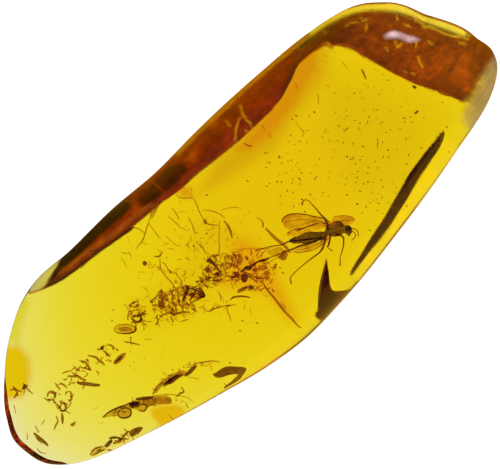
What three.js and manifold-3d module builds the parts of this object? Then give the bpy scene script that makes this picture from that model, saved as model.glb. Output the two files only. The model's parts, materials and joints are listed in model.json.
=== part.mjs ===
// A polished amber nugget with a winged insect and plant debris sealed inside, in millimetres, +Z up.
// X runs along the stone from its thin end to its thick end. It rests on the flat spot of its base at Z 0.
// The clear stone is parted at the height of the inclusions, and each inclusion lies in its own pocket there.
import * as THREE from 'three';
import { mergeVertices } from 'three/addons/utils/BufferGeometryUtils.js';
import Module from 'manifold-3d';

const wasm = await Module();
wasm.setup();

// The stone
const SLENDERNESS = 2.7; // length over width of the stone, which evens out the steps round its rim
const RIM = [ // the widest line round the stone, from the thin end along the far side: x, y, height
  [-21.05, 0.6, 0.8], [-20.4, 2.0, 0.8], [-18.6, 4.15, 1.2], [-16.2, 6.1, 1.6], [-14.2, 7.15, 1.9],
  [-12.2, 7.6, 1.8], [-9.5, 7.5, 1.8], [-5.5, 7.65, 1.8], [-1.5, 7.5, 2.0], [2.5, 7.7, 2.5],
  [8.0, 7.72, 2.6], [12.5, 7.5, 2.8], [15.8, 6.85, 3.6], [17.8, 5.5, 4.3], [19.4, 2.8, 4.8],
  [20.75, -0.3, 4.5], [21.0, -1.9, 4.0], [20.35, -3.15, 3.2], [18.35, -4.35, 2.6], [14.05, -5.45, 2.4],
  [8.05, -6.7, 2.4], [2.0, -7.6, 2.4], [-1.5, -7.82, 2.4], [-4.5, -7.52, 2.4], [-9.0, -6.57, 2.3],
  [-14.0, -5.3, 2.0], [-18.4, -3.85, 1.4], [-20.3, -2.45, 0.9], [-21.0, -0.7, 0.8],
];
const BASE_EDGE = [ // where the base turns up into the bevels, in the same order: x, y
  [-20.5, 0.55], [-19.9, 1.85], [-18.2, 4.0], [-16.0, 6.0], [-14.1, 7.0], [-13.1, 7.05], [-12.1, 6.2],
  [-11.0, 5.85], [-9.4, 5.45], [-7.6, 5.1], [-5.0, 4.7], [-2.2, 4.2], [0.3, 3.93], [3.5, 3.68], [6.3, 3.69],
  [8.1, 3.8], [9.6, 4.1], [10.6, 4.28], [11.9, 4.2], [13.2, 4.2], [13.7, 3.96], [14.05, 2.96], [14.55, 1.6],
  [15.1, 0.4], [15.7, -0.7], [16.5, -1.4], [17.3, -2.3], [18.4, -3.5], [18.05, -4.2], [14.0, -5.3],
  [8.0, -6.55], [2.0, -7.4], [-1.5, -7.65], [-4.5, -7.35], [-9.0, -6.4], [-14.0, -5.15], [-18.0, -3.75],
  [-19.9, -2.2], [-20.45, -0.7],
];
const BASE_REACH = 0.985; // the most of the way to the rim that the base reaches
const CROWN_THIN_END = 2.6;
const CROWN_THICK_END = 8.6;
const CROWN_RISE = [-23, 6]; // the crown climbs from the thin end's height to the thick end's between these x
const CROWN_SWELL = 0.1; // height of the low waves that hand polishing left
const DOME_POWER = 2.2; // 2 would be an ellipse, more gives a flatter crown with rounder shoulders
const FLAT_SPOT = [9.0, 3.2]; // half length and half width of the flat spot that it rests on
const BELLY = 0.25; // how fast the base curves up around the flat spot
const ROUND_STEPS = 80;
const HEIGHT_STEPS = 24;

// Old chips in the base, polished over: a long low ledge and a wedge
const LEDGE = {
  slope: 0.65,
  stations: [ // where the ledge starts to rise, and how far across it rises: x, y, run
    [3.3, -4.17, 0.06], [4.3, -3.95, 0.2], [5.8, -3.6, 0.28], [7.6, -3.2, 0.33], [9.4, -2.8, 0.37],
    [11.0, -2.4, 0.39], [12.4, -2.06, 0.34], [13.6, -1.92, 0.2], [14.5, -1.9, 0.05],
  ],
};
const WEDGE = {
  slope: Math.tan(THREE.MathUtils.degToRad(30)),
  left: [[3.12, -3.25], [-0.5, -5.12]], // the line where it starts to rise
  outline: [[3.12, -3.25], [2.68, -3.76], [2.35, -4.04], [2.06, -4.28], [1.92, -4.44], [1.89, -4.56],
    [2.02, -4.64], [2.44, -4.67], [3.0, -4.9], [3.2, -9.0], [-2.0, -9.0], [-0.5, -5.12]],
};
const CUT_BELOW = -1; // the cutting solids start under the base, and end past the near side
const CUT_PAST = -9;
const CUT_SKIN = 0.01;

// The parting and the inclusions
const PARTING = 2.3;
const PARTING_GAP = 0.3;
const ROOM = [60, 30, 20]; // more than the stone takes up on either side of the parting
const CLEARANCE = 0.35; // from an inclusion to the wall of its pocket
const INSECT_PLACE = [4.83, -2.94, 3.4];
const PHOTO_TILT = THREE.MathUtils.degToRad(42.4); // the stone's length against the level line it is seen on
const LENS_SHRINK = [0.98, 0.87, 0.95]; // the dome enlarges what is seen through it by the inverse of this

function smoothStep(value, low, high) {
  const s = THREE.MathUtils.clamp((value - low) / (high - low), 0, 1);
  return s * s * (3 - 2 * s);
}

// A closed line given by points, read by the angle round the stone: its value runs smoothly through them.
function lineAround(points, valueOf) {
  const knots = points
    .map((p) => ({ angle: Math.atan2(p[1], p[0] / SLENDERNESS), value: valueOf(p) }))
    .sort((a, b) => a.angle - b.angle);
  const count = knots.length;
  const knot = (i) => ({
    angle: knots[(i + count) % count].angle + 2 * Math.PI * Math.floor(i / count),
    value: knots[(i + count) % count].value,
  });
  const slope = (i) => (knot(i + 1).value - knot(i - 1).value) / (knot(i + 1).angle - knot(i - 1).angle);
  return (angle) => {
    let i = -1;
    while (i < count - 1 && knot(i + 1).angle <= angle) i += 1;
    const from = knot(i);
    const to = knot(i + 1);
    const width = to.angle - from.angle;
    const s = (angle - from.angle) / width;
    return (2 * s ** 3 - 3 * s ** 2 + 1) * from.value + (s ** 3 - 2 * s ** 2 + s) * width * slope(i)
      + (3 * s ** 2 - 2 * s ** 3) * to.value + (s ** 3 - s ** 2) * width * slope(i + 1);
  };
}
const reach = (p) => Math.hypot(p[0] / SLENDERNESS, p[1]);
const rimReach = lineAround(RIM, reach);
const rimHeight = lineAround(RIM, (p) => p[2]);
const baseReach = lineAround(BASE_EDGE, reach);

function crownHeight(x, y) {
  const climb = smoothStep(x, ...CROWN_RISE);
  const swell = CROWN_SWELL * Math.sin(0.33 * x + 0.5) * Math.cos(0.4 * y);
  return THREE.MathUtils.lerp(CROWN_THIN_END, CROWN_THICK_END, climb) + swell;
}

function baseHeight(x, y) {
  const out = Math.hypot(x / FLAT_SPOT[0], y / FLAT_SPOT[1]);
  return BELLY * Math.max(0, out - 1) ** 2;
}

// A point of the stone's skin. level is 0 at the middle of the base, 0.5 at the rim and 1 at the top.
function skinPoint(angle, level) {
  const rim = rimReach(angle);
  const edge = Math.min(baseReach(angle) / rim, BASE_REACH);
  const place = (share) => [share * rim * SLENDERNESS * Math.cos(angle), share * rim * Math.sin(angle)];
  if (level <= 0.25) {
    const [x, y] = place(edge * level / 0.25);
    return [x, y, baseHeight(x, y)];
  }
  if (level <= 0.5) {
    const rise = Math.sin(Math.PI / 2 * (level - 0.25) / 0.25);
    const [x, y] = place(edge + (1 - edge) * rise);
    return [x, y, THREE.MathUtils.lerp(baseHeight(x, y), rimHeight(angle), rise)];
  }
  const turn = (level - 0.5) * Math.PI;
  const [x, y] = place(Math.max(0, Math.cos(turn)) ** (2 / DOME_POWER));
  const lift = Math.sin(turn) ** (2 / DOME_POWER);
  return [x, y, THREE.MathUtils.lerp(rimHeight(angle), crownHeight(x, y), lift)];
}

function stoneGeometry() {
  const geometry = new THREE.SphereGeometry(1, ROUND_STEPS, HEIGHT_STEPS).rotateX(Math.PI / 2);
  const position = geometry.getAttribute('position');
  for (let i = 0; i < position.count; i += 1) {
    const level = 0.5 + Math.asin(THREE.MathUtils.clamp(position.getZ(i), -1, 1)) / Math.PI;
    const angle = Math.atan2(position.getY(i), position.getX(i));
    position.setXYZ(i, ...skinPoint(angle, level));
  }
  return geometry;
}

// The chips, as the solids that they take away
function ledgeCut() {
  const last = LEDGE.stations.length - 1;
  const geometry = new THREE.BoxGeometry(1, 1, 1, last, 1, 1);
  const position = geometry.getAttribute('position');
  for (let i = 0; i < position.count; i += 1) {
    const [x, line, run] = LEDGE.stations[Math.round((position.getX(i) + 0.5) * last)];
    const floor = baseHeight(x, line);
    const z = position.getZ(i) > 0 ? floor + run * LEDGE.slope : CUT_BELOW;
    const y = position.getY(i) > 0 ? line - (z - floor) / LEDGE.slope : CUT_PAST;
    position.setXYZ(i, x, y, z);
  }
  return solidOf(geometry);
}

function wedgeCut() {
  const [start, end] = WEDGE.left.map((p) => new THREE.Vector2(...p));
  const along = end.clone().sub(start).normalize();
  const shape = new THREE.Shape(WEDGE.outline.map((p) => new THREE.Vector2(...p)));
  const geometry = new THREE.ExtrudeGeometry(shape, { depth: 1, bevelEnabled: false });
  const position = geometry.getAttribute('position');
  for (let i = 0; i < position.count; i += 1) {
    const out = new THREE.Vector2(position.getX(i), position.getY(i)).sub(start);
    const distance = Math.max(0, along.x * out.y - along.y * out.x);
    position.setZ(i, position.getZ(i) > 0.5 ? CUT_SKIN + distance * WEDGE.slope : CUT_BELOW);
  }
  return solidOf(geometry);
}

// A closed geometry as a solid that can be cut and joined, and back
function solidOf(geometry) {
  const bare = geometry.clone();
  bare.deleteAttribute('normal');
  bare.deleteAttribute('uv');
  const merged = mergeVertices(bare, 1e-4);
  return new wasm.Manifold(new wasm.Mesh({
    numProp: 3,
    vertProperties: merged.getAttribute('position').array,
    triVerts: new Uint32Array(merged.index.array),
  }));
}

function geometryOf(solid) {
  const mesh = solid.getMesh();
  const geometry = new THREE.BufferGeometry();
  geometry.setAttribute('position', new THREE.BufferAttribute(mesh.vertProperties, 3));
  geometry.setIndex(new THREE.BufferAttribute(mesh.triVerts, 1));
  geometry.computeVertexNormals();
  return geometry;
}

const joined = (solids) => solids.reduce((all, one) => all.add(one));

// Small forms that the inclusions are made of
function ellipsoid(centre, halfSizes, turn = 0, steps = [9, 6], pose = new THREE.Matrix4()) {
  const geometry = new THREE.SphereGeometry(1, ...steps).rotateX(Math.PI / 2).scale(...halfSizes);
  return solidOf(geometry.rotateZ(turn).translate(...centre).applyMatrix4(pose));
}

// A jointed leg, feeler or stem: a cylinder whose rings are moved onto the points, each with its own radius
function limb(points, radii, sides = 5, pose = new THREE.Matrix4()) {
  const last = points.length - 1;
  const knots = points.map((p) => new THREE.Vector3(...p));
  const geometry = new THREE.CylinderGeometry(1, 1, 1, sides, last);
  const position = geometry.getAttribute('position');
  const up = new THREE.Vector3(0, 0, 1);
  for (let i = 0; i < position.count; i += 1) {
    const k = Math.round((position.getY(i) + 0.5) * last);
    const along = knots[Math.min(k + 1, last)].clone().sub(knots[Math.max(k - 1, 0)]).normalize();
    const side = along.clone().cross(up).normalize();
    const rise = side.clone().cross(along);
    const at = knots[k].clone()
      .addScaledVector(side, position.getX(i) * radii[k])
      .addScaledVector(rise, position.getZ(i) * radii[k]);
    position.setXYZ(i, at.x, at.y, at.z);
  }
  return solidOf(geometry.applyMatrix4(pose));
}

// A flat form with a smooth closed outline
function plate(outline, bottom, thickness, steps = 20, pose = new THREE.Matrix4()) {
  const curve = new THREE.CatmullRomCurve3(outline.map(([x, y]) => new THREE.Vector3(x, y, 0)), true);
  const points = curve.getPoints(steps).slice(0, -1).map((p) => new THREE.Vector2(p.x, p.y));
  const shape = new THREE.Shape(points);
  const geometry = new THREE.ExtrudeGeometry(shape, { depth: thickness, bevelEnabled: false });
  return solidOf(geometry.translate(0, 0, bottom).applyMatrix4(pose));
}

// The insect, in its own frame: x towards the head, y towards the upper wings, z towards the crown
const LEG_RADIUS = { hip: 0.075, thigh: 0.07, shin: 0.05, foot: 0.035 };
const LEGS = {
  midUpper: [[-0.43, -0.09, 0.3], [-0.46, 0.26, 0.45], [-0.65, 0.69, 0.3], [-0.87, 0.91, 0.15],
    [-1.17, 1.3, 0], [-1.43, 1.61, -0.1], [-1.69, 1.87, -0.15], [-1.87, 1.92, -0.15], [-2.04, 1.78, -0.1],
    [-2.06, 1.58, -0.1]],
  midLower: [[-0.6, -0.3, 0], [-0.65, -0.87, 0.05], [-0.78, -1.3, 0.05], [-1.0, -1.61, 0], [-1.52, -2.04, 0],
    [-1.78, -2.26, -0.05], [-2.26, -2.69, -0.1], [-2.73, -3.25, -0.1], [-2.76, -3.56, -0.1],
    [-2.71, -3.77, -0.1]],
  frontLower: [[0.0, -0.3, 0.1], [0.48, -0.5, 0.15], [0.56, -0.61, 0.15], [0.56, -1.13, 0.1],
    [0.43, -1.65, 0], [0.35, -1.91, 0], [0.35, -2.3, -0.05], [0.35, -2.52, -0.05]],
  frontFolded: [[-0.3, -0.3, -0.2], [-0.43, -1.0, -0.25], [-0.52, -1.17, -0.2], [-0.35, -1.34, -0.2],
    [-0.2, -1.47, -0.2]],
  hindNear: [[-0.65, -0.4, 0.1], [-1.43, -0.91, 0.15], [-2.04, -1.08, 0.15], [-3.12, -1.54, 0.1],
    [-3.9, -1.86, 0], [-4.6, -2.12, -0.1]],
  hindFar: [[-0.7, -0.4, -0.2], [-2.2, -0.72, -0.25], [-2.86, -0.8, -0.2], [-3.3, -1.0, -0.15],
    [-3.9, -1.1, -0.1], [-4.5, -1.28, -0.1]],
};
const FEELERS = [
  [[0.98, -0.02, 0.12], [1.18, 0.01, 0.16], [1.36, -0.04, 0.18], [1.5, -0.22, 0.16], [1.55, -0.52, 0.1]],
  [[0.98, -0.1, -0.1], [1.16, -0.16, -0.12], [1.28, -0.32, -0.12], [1.26, -0.56, -0.1], [1.04, -0.76, -0.08]],
];
const WING_THICKNESS = 0.07;
const WINGS = [ // each: height of the wing's underside, then its outline
  [0.32, [[-0.3, 0.42], [-0.69, 0.66], [-1.43, 0.82], [-1.87, 0.95], [-2.39, 1.02], [-2.91, 0.93],
    [-3.21, 0.74], [-3.34, 0.5], [-3.17, 0.13], [-2.86, -0.04], [-2.39, -0.13], [-1.87, 0.09], [-1.17, 0.36],
    [-0.5, 0.3]]],
  [0.1, [[-0.2, 0.3], [-0.65, 0.34], [-1.17, 0.3], [-1.87, 0.12], [-2.5, 0.02], [-2.97, -0.2],
    [-2.97, -0.42], [-2.5, -0.48], [-1.7, -0.2], [-0.9, 0.02]]],
  [-0.24, [[-0.5, -0.3], [-0.9, -0.8], [-1.43, -1.0], [-2.04, -1.08], [-2.65, -1.3], [-2.8, -1.46],
    [-2.5, -1.6], [-1.69, -1.5], [-1.1, -1.26], [-0.6, -0.9], [-0.3, -0.4]]],
  [-0.3, [[-0.3, 0.4], [-0.13, 0.85], [0.3, 0.92], [0.82, 0.91], [1.13, 0.8], [1.22, 0.62], [1.05, 0.4],
    [0.6, 0.25], [0.1, 0.2]]],
];
const BODY_LEAN = THREE.MathUtils.degToRad(10);

function abdomen(pose) { // a spindle of seven rings that ends in a point
  const length = 2.45;
  const widest = 0.4;
  const rings = 6;
  const profile = [new THREE.Vector2(0, 0)];
  for (let i = 0; i < rings; i += 1) {
    for (const [share, squeeze] of [[0.15, 0.93], [0.85, 1.0]]) {
      const t = (i + share) / rings;
      const bulge = Math.sin(Math.PI * Math.min(1, 0.06 + t * 0.94) ** 0.85) ** 0.8;
      profile.push(new THREE.Vector2(widest * squeeze * bulge, length * t));
    }
  }
  profile.push(new THREE.Vector2(0, length));
  const geometry = new THREE.LatheGeometry(profile, 9).rotateZ(Math.PI / 2 + BODY_LEAN);
  return solidOf(geometry.translate(-0.5, -0.36, 0).applyMatrix4(pose));
}

const BODY = [ // each: centre, then half sizes
  [[0, 0, 0], [0.66, 0.5, 0.45]], // the thorax
  [[0.1, 0.22, 0.12], [0.42, 0.3, 0.3]], // the hump of the back
  [[0.64, 0.02, 0], [0.22, 0.22, 0.2]], // the neck
  [[0.84, -0.06, 0], [0.25, 0.32, 0.3]], // the head
  [[0.82, -0.02, 0.22], [0.17, 0.2, 0.14]], // the eyes
  [[0.82, -0.02, -0.22], [0.17, 0.2, 0.14]],
  [[0.86, -0.36, 0], [0.09, 0.14, 0.09]], // the mouth parts
  [[-0.6, -0.3, 0], [0.28, 0.18, 0.18]], // the waist
];

function insect(pose) {
  const solids = BODY.map(([centre, half]) => ellipsoid(centre, half, BODY_LEAN, [9, 6], pose));
  solids.push(abdomen(pose));
  for (const points of Object.values(LEGS)) {
    const { hip, thigh, shin, foot } = LEG_RADIUS;
    const radii = points.map((_, i) => {
      const t = i / (points.length - 1);
      if (t < 0.3) return THREE.MathUtils.lerp(hip, thigh, t / 0.3);
      return t < 0.65 ? shin : foot;
    });
    radii[points.length - 1] = 2 * foot;
    solids.push(limb(points, radii, 5, pose));
  }
  for (const points of FEELERS) {
    solids.push(limb(points, points.map((_, i) => 0.04 - 0.003 * i), 4, pose));
  }
  for (const [bottom, outline] of WINGS) {
    solids.push(plate(outline, bottom, WING_THICKNESS, 16, pose));
  }
  return joined(solids);
}

const INSECT_POCKET = [ // wide round the insect in its own frame, with room for its legs
  [-5.15, -1.7], [-4.6, -0.75], [-3.9, 0.7], [-2.7, 2.0], [-1.9, 2.4], [-1.0, 2.1], [0.2, 1.5], [1.4, 1.3],
  [2.05, 0.4], [2.0, -0.8], [1.25, -1.6], [1.0, -2.7], [0.35, -3.1], [-0.4, -2.6], [-1.4, -3.0], [-2.2, -4.1],
  [-2.75, -4.35], [-3.3, -3.9], [-3.4, -3.0], [-4.2, -2.7], [-5.0, -2.5],
];
const POCKET_BELOW = 1.5;
const POCKET_HEIGHT = 2.7;

// Plant debris. Each clump follows a route of true positions, and its crumbs are strung on it.
const CLUMPS = {
  debris_seam: {
    route: [[-9.48, 1.5], [-7.53, 1.02], [-5.98, 0.15], [-3.96, -0.24], [-2.97, -0.63], [-1.4, -1.5]],
    height: 2.6, crumbs: 15, size: 0.6, spread: 0.3, seed: 11,
  },
  debris_trail: {
    route: [[-14.6, 0.98], [-13.8, 1.1], [-13.1, 1.15], [-12.3, 1.05]],
    height: 2.1, crumbs: 7, size: 0.3, spread: 0.14, seed: 5,
  },
};
const SLIVERS = { // thin curved flakes of bark: route, half width, half thickness
  bark_sliver_long: {
    route: [[-14.7, -2.6], [-14.0, -2.74], [-13.0, -3.13], [-12.1, -3.62], [-10.95, -4.45]],
    height: 2.0, width: 0.42, thick: 0.16,
  },
  bark_sliver_short: {
    route: [[-11.4, -3.3], [-10.48, -3.2], [-9.57, -3.42], [-8.67, -3.7], [-7.9, -3.98]],
    height: 2.5, width: 0.3, thick: 0.14,
  },
};
const SEED = { place: [-11.69, -0.19, 2.3], half: [0.5, 0.2, 0.18], turn: 0.35 };

function seededRandom(seed) {
  let state = seed;
  return () => {
    state = (state * 16807) % 2147483647;
    return state / 2147483647;
  };
}

const routeCurve = ({ route, height }) => new THREE.CatmullRomCurve3(
  route.map(([x, y]) => new THREE.Vector3(x, y, height)));

function clump(spec) {
  const { crumbs, size, spread, seed } = spec;
  const random = seededRandom(seed);
  const curve = routeCurve(spec);
  const spine = curve.getPoints(10).map((p) => p.toArray());
  const solids = [limb(spine, spine.map(() => 0.14), 5)];
  for (let i = 0; i < crumbs; i += 1) {
    const at = curve.getPoint((i + 0.5) / crumbs);
    const across = (random() - 0.5) * 2 * spread;
    const radius = size * (0.55 + 0.45 * random());
    const geometry = new THREE.IcosahedronGeometry(radius, 0)
      .scale(1, 0.45 + 0.3 * random(), 0.5 + 0.2 * random())
      .rotateZ(random() * Math.PI)
      .translate(at.x, at.y + across, at.z);
    solids.push(solidOf(geometry));
  }
  return joined(solids);
}

function sliver(spec) { // a flake with pointed ends, widest in its middle
  const { height, width, thick } = spec;
  const curve = routeCurve(spec);
  const steps = 10;
  const outline = [];
  for (const side of [1, -1]) {
    for (let i = 0; i < steps; i += 1) {
      const t = side > 0 ? i / steps : 1 - i / steps;
      const at = curve.getPoint(t);
      const along = curve.getTangent(t);
      const half = side * width * Math.sin(Math.PI * (0.04 + 0.92 * t)) ** 0.7;
      outline.push([at.x - along.y * half, at.y + along.x * half]);
    }
  }
  return plate(outline, height - thick, 2 * thick, 2 * steps);
}

function routePocket(spec, half, halfHeight) { // a level slot round a route, with round ends
  const curve = routeCurve(spec);
  const outline = [];
  const steps = 6;
  for (const side of [1, -1]) {
    for (let i = 0; i <= steps; i += 1) {
      const t = side > 0 ? i / steps : 1 - i / steps;
      const at = curve.getPoint(t);
      const along = curve.getTangent(t);
      const past = half * ((t === 1) - (t === 0)) * 0.75;
      const across = half * side;
      outline.push([at.x - along.y * across + along.x * past, at.y + along.x * across + along.y * past]);
    }
  }
  return plate(outline, spec.height - halfHeight, 2 * halfHeight, 24);
}

// Assembly
const nugget = new THREE.Group();

function addPiece(parent, name, solid, material) {
  const mesh = new THREE.Mesh(geometryOf(solid), material);
  mesh.name = name;
  parent.add(mesh);
  return mesh;
}

const amber = new THREE.MeshStandardMaterial({ color: 0xe6bf10, roughness: 0.08, metalness: 0 });
const chitin = new THREE.MeshStandardMaterial({ color: 0x3a2208, roughness: 0.5, metalness: 0 });
const bark = new THREE.MeshStandardMaterial({ color: 0x5a3210, roughness: 0.8, metalness: 0 });

const insectPose = new THREE.Matrix4()
  .makeTranslation(...INSECT_PLACE)
  .multiply(new THREE.Matrix4().makeScale(...LENS_SHRINK))
  .multiply(new THREE.Matrix4().makeRotationZ(-PHOTO_TILT));

const pockets = [
  plate(INSECT_POCKET, -POCKET_BELOW, POCKET_HEIGHT, 32, insectPose),
  ellipsoid(SEED.place, SEED.half.map((h) => h + CLEARANCE), SEED.turn),
];

addPiece(nugget, 'winged_insect', insect(insectPose), chitin);
for (const [name, spec] of Object.entries(CLUMPS)) {
  addPiece(nugget, name, clump(spec), bark);
  pockets.push(routePocket(spec, spec.size + spec.spread + CLEARANCE, 0.6 * spec.size + CLEARANCE));
}
for (const [name, spec] of Object.entries(SLIVERS)) {
  addPiece(nugget, name, sliver(spec), bark);
  pockets.push(routePocket(spec, spec.width + CLEARANCE, spec.thick + CLEARANCE));
}
addPiece(nugget, 'seed_husk', ellipsoid(SEED.place, SEED.half, SEED.turn), bark);

const stone = solidOf(stoneGeometry()).subtract(joined([...pockets, ledgeCut(), wedgeCut()]));
for (const [name, side] of [['amber_upper', 1], ['amber_lower', -1]]) {
  const [length, width, height] = ROOM;
  const middle = PARTING + side * (PARTING_GAP + height) / 2;
  const room = solidOf(new THREE.BoxGeometry(length, width, height).translate(0, 0, middle));
  addPiece(nugget, name, stone.intersect(room), amber);
}

export default nugget;
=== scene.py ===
import json
import math
import random

import bmesh
import bpy
import numpy as np
from mathutils import Matrix, Quaternion, Vector
from mathutils.bvhtree import BVHTree
from mathutils.kdtree import KDTree

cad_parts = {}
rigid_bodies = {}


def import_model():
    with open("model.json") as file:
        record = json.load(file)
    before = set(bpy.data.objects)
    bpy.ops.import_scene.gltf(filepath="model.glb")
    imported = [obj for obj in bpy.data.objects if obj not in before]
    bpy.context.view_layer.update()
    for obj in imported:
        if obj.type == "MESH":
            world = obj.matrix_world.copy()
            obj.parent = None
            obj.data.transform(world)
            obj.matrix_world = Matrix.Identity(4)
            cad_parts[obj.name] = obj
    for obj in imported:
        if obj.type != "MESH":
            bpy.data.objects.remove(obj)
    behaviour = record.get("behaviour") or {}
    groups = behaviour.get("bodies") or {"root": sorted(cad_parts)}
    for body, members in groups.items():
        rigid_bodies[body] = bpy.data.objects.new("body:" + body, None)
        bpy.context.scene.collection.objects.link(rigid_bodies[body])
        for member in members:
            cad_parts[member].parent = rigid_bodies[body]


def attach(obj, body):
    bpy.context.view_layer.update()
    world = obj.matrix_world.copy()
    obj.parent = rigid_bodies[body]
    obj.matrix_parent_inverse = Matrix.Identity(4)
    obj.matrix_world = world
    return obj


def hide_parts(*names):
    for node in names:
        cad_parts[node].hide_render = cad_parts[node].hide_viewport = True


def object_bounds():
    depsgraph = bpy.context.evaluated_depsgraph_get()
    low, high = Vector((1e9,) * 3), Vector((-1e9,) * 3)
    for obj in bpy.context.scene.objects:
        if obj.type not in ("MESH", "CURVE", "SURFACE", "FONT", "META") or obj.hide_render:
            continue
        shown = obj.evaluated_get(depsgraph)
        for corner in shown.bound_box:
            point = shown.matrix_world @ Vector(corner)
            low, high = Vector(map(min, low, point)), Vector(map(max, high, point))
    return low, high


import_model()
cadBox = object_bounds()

mm = 0.001  # sizes below are in millimetres

# How the photo lies over the stone, which is seen from above
photo = {
    "width": 500,
    "height": 469,
    "pixelSize": 0.068,  # mm of the stone under one pixel
    "stoneMiddle": (245.9, 238.3),  # the pixel over the origin
    "tilt": math.radians(42.4),  # of the stone's length against the level
    "planeHeight": 4.0,  # the height where pixelSize holds
    "distance": 400.0,  # from that height up to the lens
    "sensor": 36,
    "seenDepth": (0.01, 10),  # metres from the lens
    "onStone": 0.998,  # share of the way to the rim where sight lines still enter the stone
    "tries": 8,  # by which a sight line closes in on the crown
    "slopeReach": 0.02,  # mm over which the crown's slope is read
    "clearance": 0.4,  # mm below the crown, where a sight line starts to look for the skin
    "leastTurn": 0.05,  # a sight line counts where its patch of skin is larger and not turned over
    "hidden": 0.3,  # mm from the nearest place that a sight line meets
    "neighbours": 3,  # sight lines that tell where a place shows
    "leastGap": 0.01,  # mm, what the nearest of them is taken to be away at the least
    "leastShare": 0.01,  # of the way to the rim, for places in the very middle
}
photoRight = Vector((math.cos(photo["tilt"]), -math.sin(photo["tilt"]), 0))
photoUp = Vector((math.sin(photo["tilt"]), math.cos(photo["tilt"]), 0))


def underPixels(pixels):  # places on the photo's plane
    across = (pixels[:, 0] - photo["stoneMiddle"][0]) * photo["pixelSize"]
    upward = (photo["stoneMiddle"][1] - pixels[:, 1]) * photo["pixelSize"]
    flat = across[:, None] * np.array(photoRight) + upward[:, None] * np.array(photoUp)
    return flat + np.array((0, 0, photo["planeHeight"]))


photoCentre = underPixels(np.array([(photo["width"] / 2, photo["height"] / 2)]))[0]
lensPlace = Vector(photoCentre) + Vector((0, 0, photo["distance"]))


def makeCamera():
    data = bpy.data.cameras.new("photoCamera")
    data.sensor_width = photo["sensor"]
    data.lens = data.sensor_width * photo["distance"] / (photo["width"] * photo["pixelSize"])
    data.clip_start, data.clip_end = photo["seenDepth"]
    holder = bpy.data.objects.new("photoCamera", data)
    turn = Matrix((photoRight, photoUp, Vector((0, 0, 1)))).transposed().to_4x4()
    holder.matrix_world = Matrix.Translation(lensPlace * mm) @ turn
    bpy.context.scene.collection.objects.link(holder)
    bpy.context.scene.camera = holder


makeCamera()
print("camera set over the stone")


# Node trees: a wrapped socket that Python's operators work on, and trees that add a node in one call
class Wire:
    def __init__(self, tree, socket):
        self.tree = tree
        self.socket = socket

    def maths(self, operation, *others):
        return self.tree.node("ShaderNodeMath", {"operation": operation}, [self, *others])

    def __add__(self, other):
        return self.maths("ADD", other)

    def __sub__(self, other):
        return self.maths("SUBTRACT", other)

    def __mul__(self, other):
        return self.maths("MULTIPLY", other)

    def __rsub__(self, other):
        return self.tree.node("ShaderNodeMath", {"operation": "SUBTRACT"}, [other, self])

    __radd__ = __add__
    __rmul__ = __mul__

    def orMore(self, other):
        return self.maths("MAXIMUM", other)

    def step(self, low, high):  # 0 below low, 1 above high, smooth between
        inputs = {"Value": self, "From Min": low, "From Max": high}
        return self.tree.node("ShaderNodeMapRange", {"interpolation_type": "SMOOTHSTEP"}, inputs)


class Tree:
    def __init__(self, tree):
        self.tree = tree

    def feed(self, socket, value):
        if isinstance(value, Wire):
            self.tree.links.new(value.socket, socket)
        elif hasattr(value, "__len__") and len(value) == 3 and socket.type == "RGBA":
            socket.default_value = (*value, 1)
        else:
            socket.default_value = value

    def node(self, kind, settings=None, inputs=None, output=0):
        node = self.tree.nodes.new(kind)
        for name, value in (settings or {}).items():
            if name == "stops":
                self.setStops(node.color_ramp, value)
            else:
                setattr(node, name, value)
        pairs = inputs.items() if isinstance(inputs, dict) else enumerate(inputs or [])
        for name, value in pairs:
            self.feed(node.inputs[name], value)
        return Wire(self, node.outputs[output])

    def setStops(self, ramp, stops):  # stops are (place, colour)
        while len(ramp.elements) > 1:
            ramp.elements.remove(ramp.elements[0])
        for index, (place, colour) in enumerate(stops):
            element = ramp.elements[0] if index == 0 else ramp.elements.new(place)
            element.position = place
            element.color = (*colour, 1)


class Finish(Tree):  # a material under construction
    def __init__(self, name):
        self.material = bpy.data.materials.new(name)
        self.material.use_nodes = True
        super().__init__(self.material.node_tree)
        self.shader = self.tree.nodes["Principled BSDF"]
        self.output = self.tree.nodes["Material Output"]

    def set(self, values):  # sockets of its shader by their titles
        for title, value in values.items():
            self.feed(self.shader.inputs[title], value)

    def place(self):  # where a point is, in metres
        return self.node("ShaderNodeTexCoord", output="Object")

    def attribute(self, name):  # a number kept on the mesh
        return self.node("ShaderNodeAttribute", {"attribute_name": name}, output="Fac")

    def noise(self, size, stretch=(1, 1, 1), detail=3.0, roughness=0.55):  # size in mm
        vector = self.node("ShaderNodeMapping", {}, {"Vector": self.place(), "Scale": stretch})
        inputs = {"Vector": vector, "Scale": 1 / (size * mm), "Detail": detail, "Roughness": roughness}
        return self.node("ShaderNodeTexNoise", {}, inputs)

    def ramp(self, factor, stops):
        return self.node("ShaderNodeValToRGB", {"stops": stops}, [factor])

    def blend(self, factor, first, second, way="MIX"):
        inputs = {0: factor, 6: first, 7: second}
        return self.node("ShaderNodeMix", {"data_type": "RGBA", "blend_type": way}, inputs, output=2)


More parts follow.
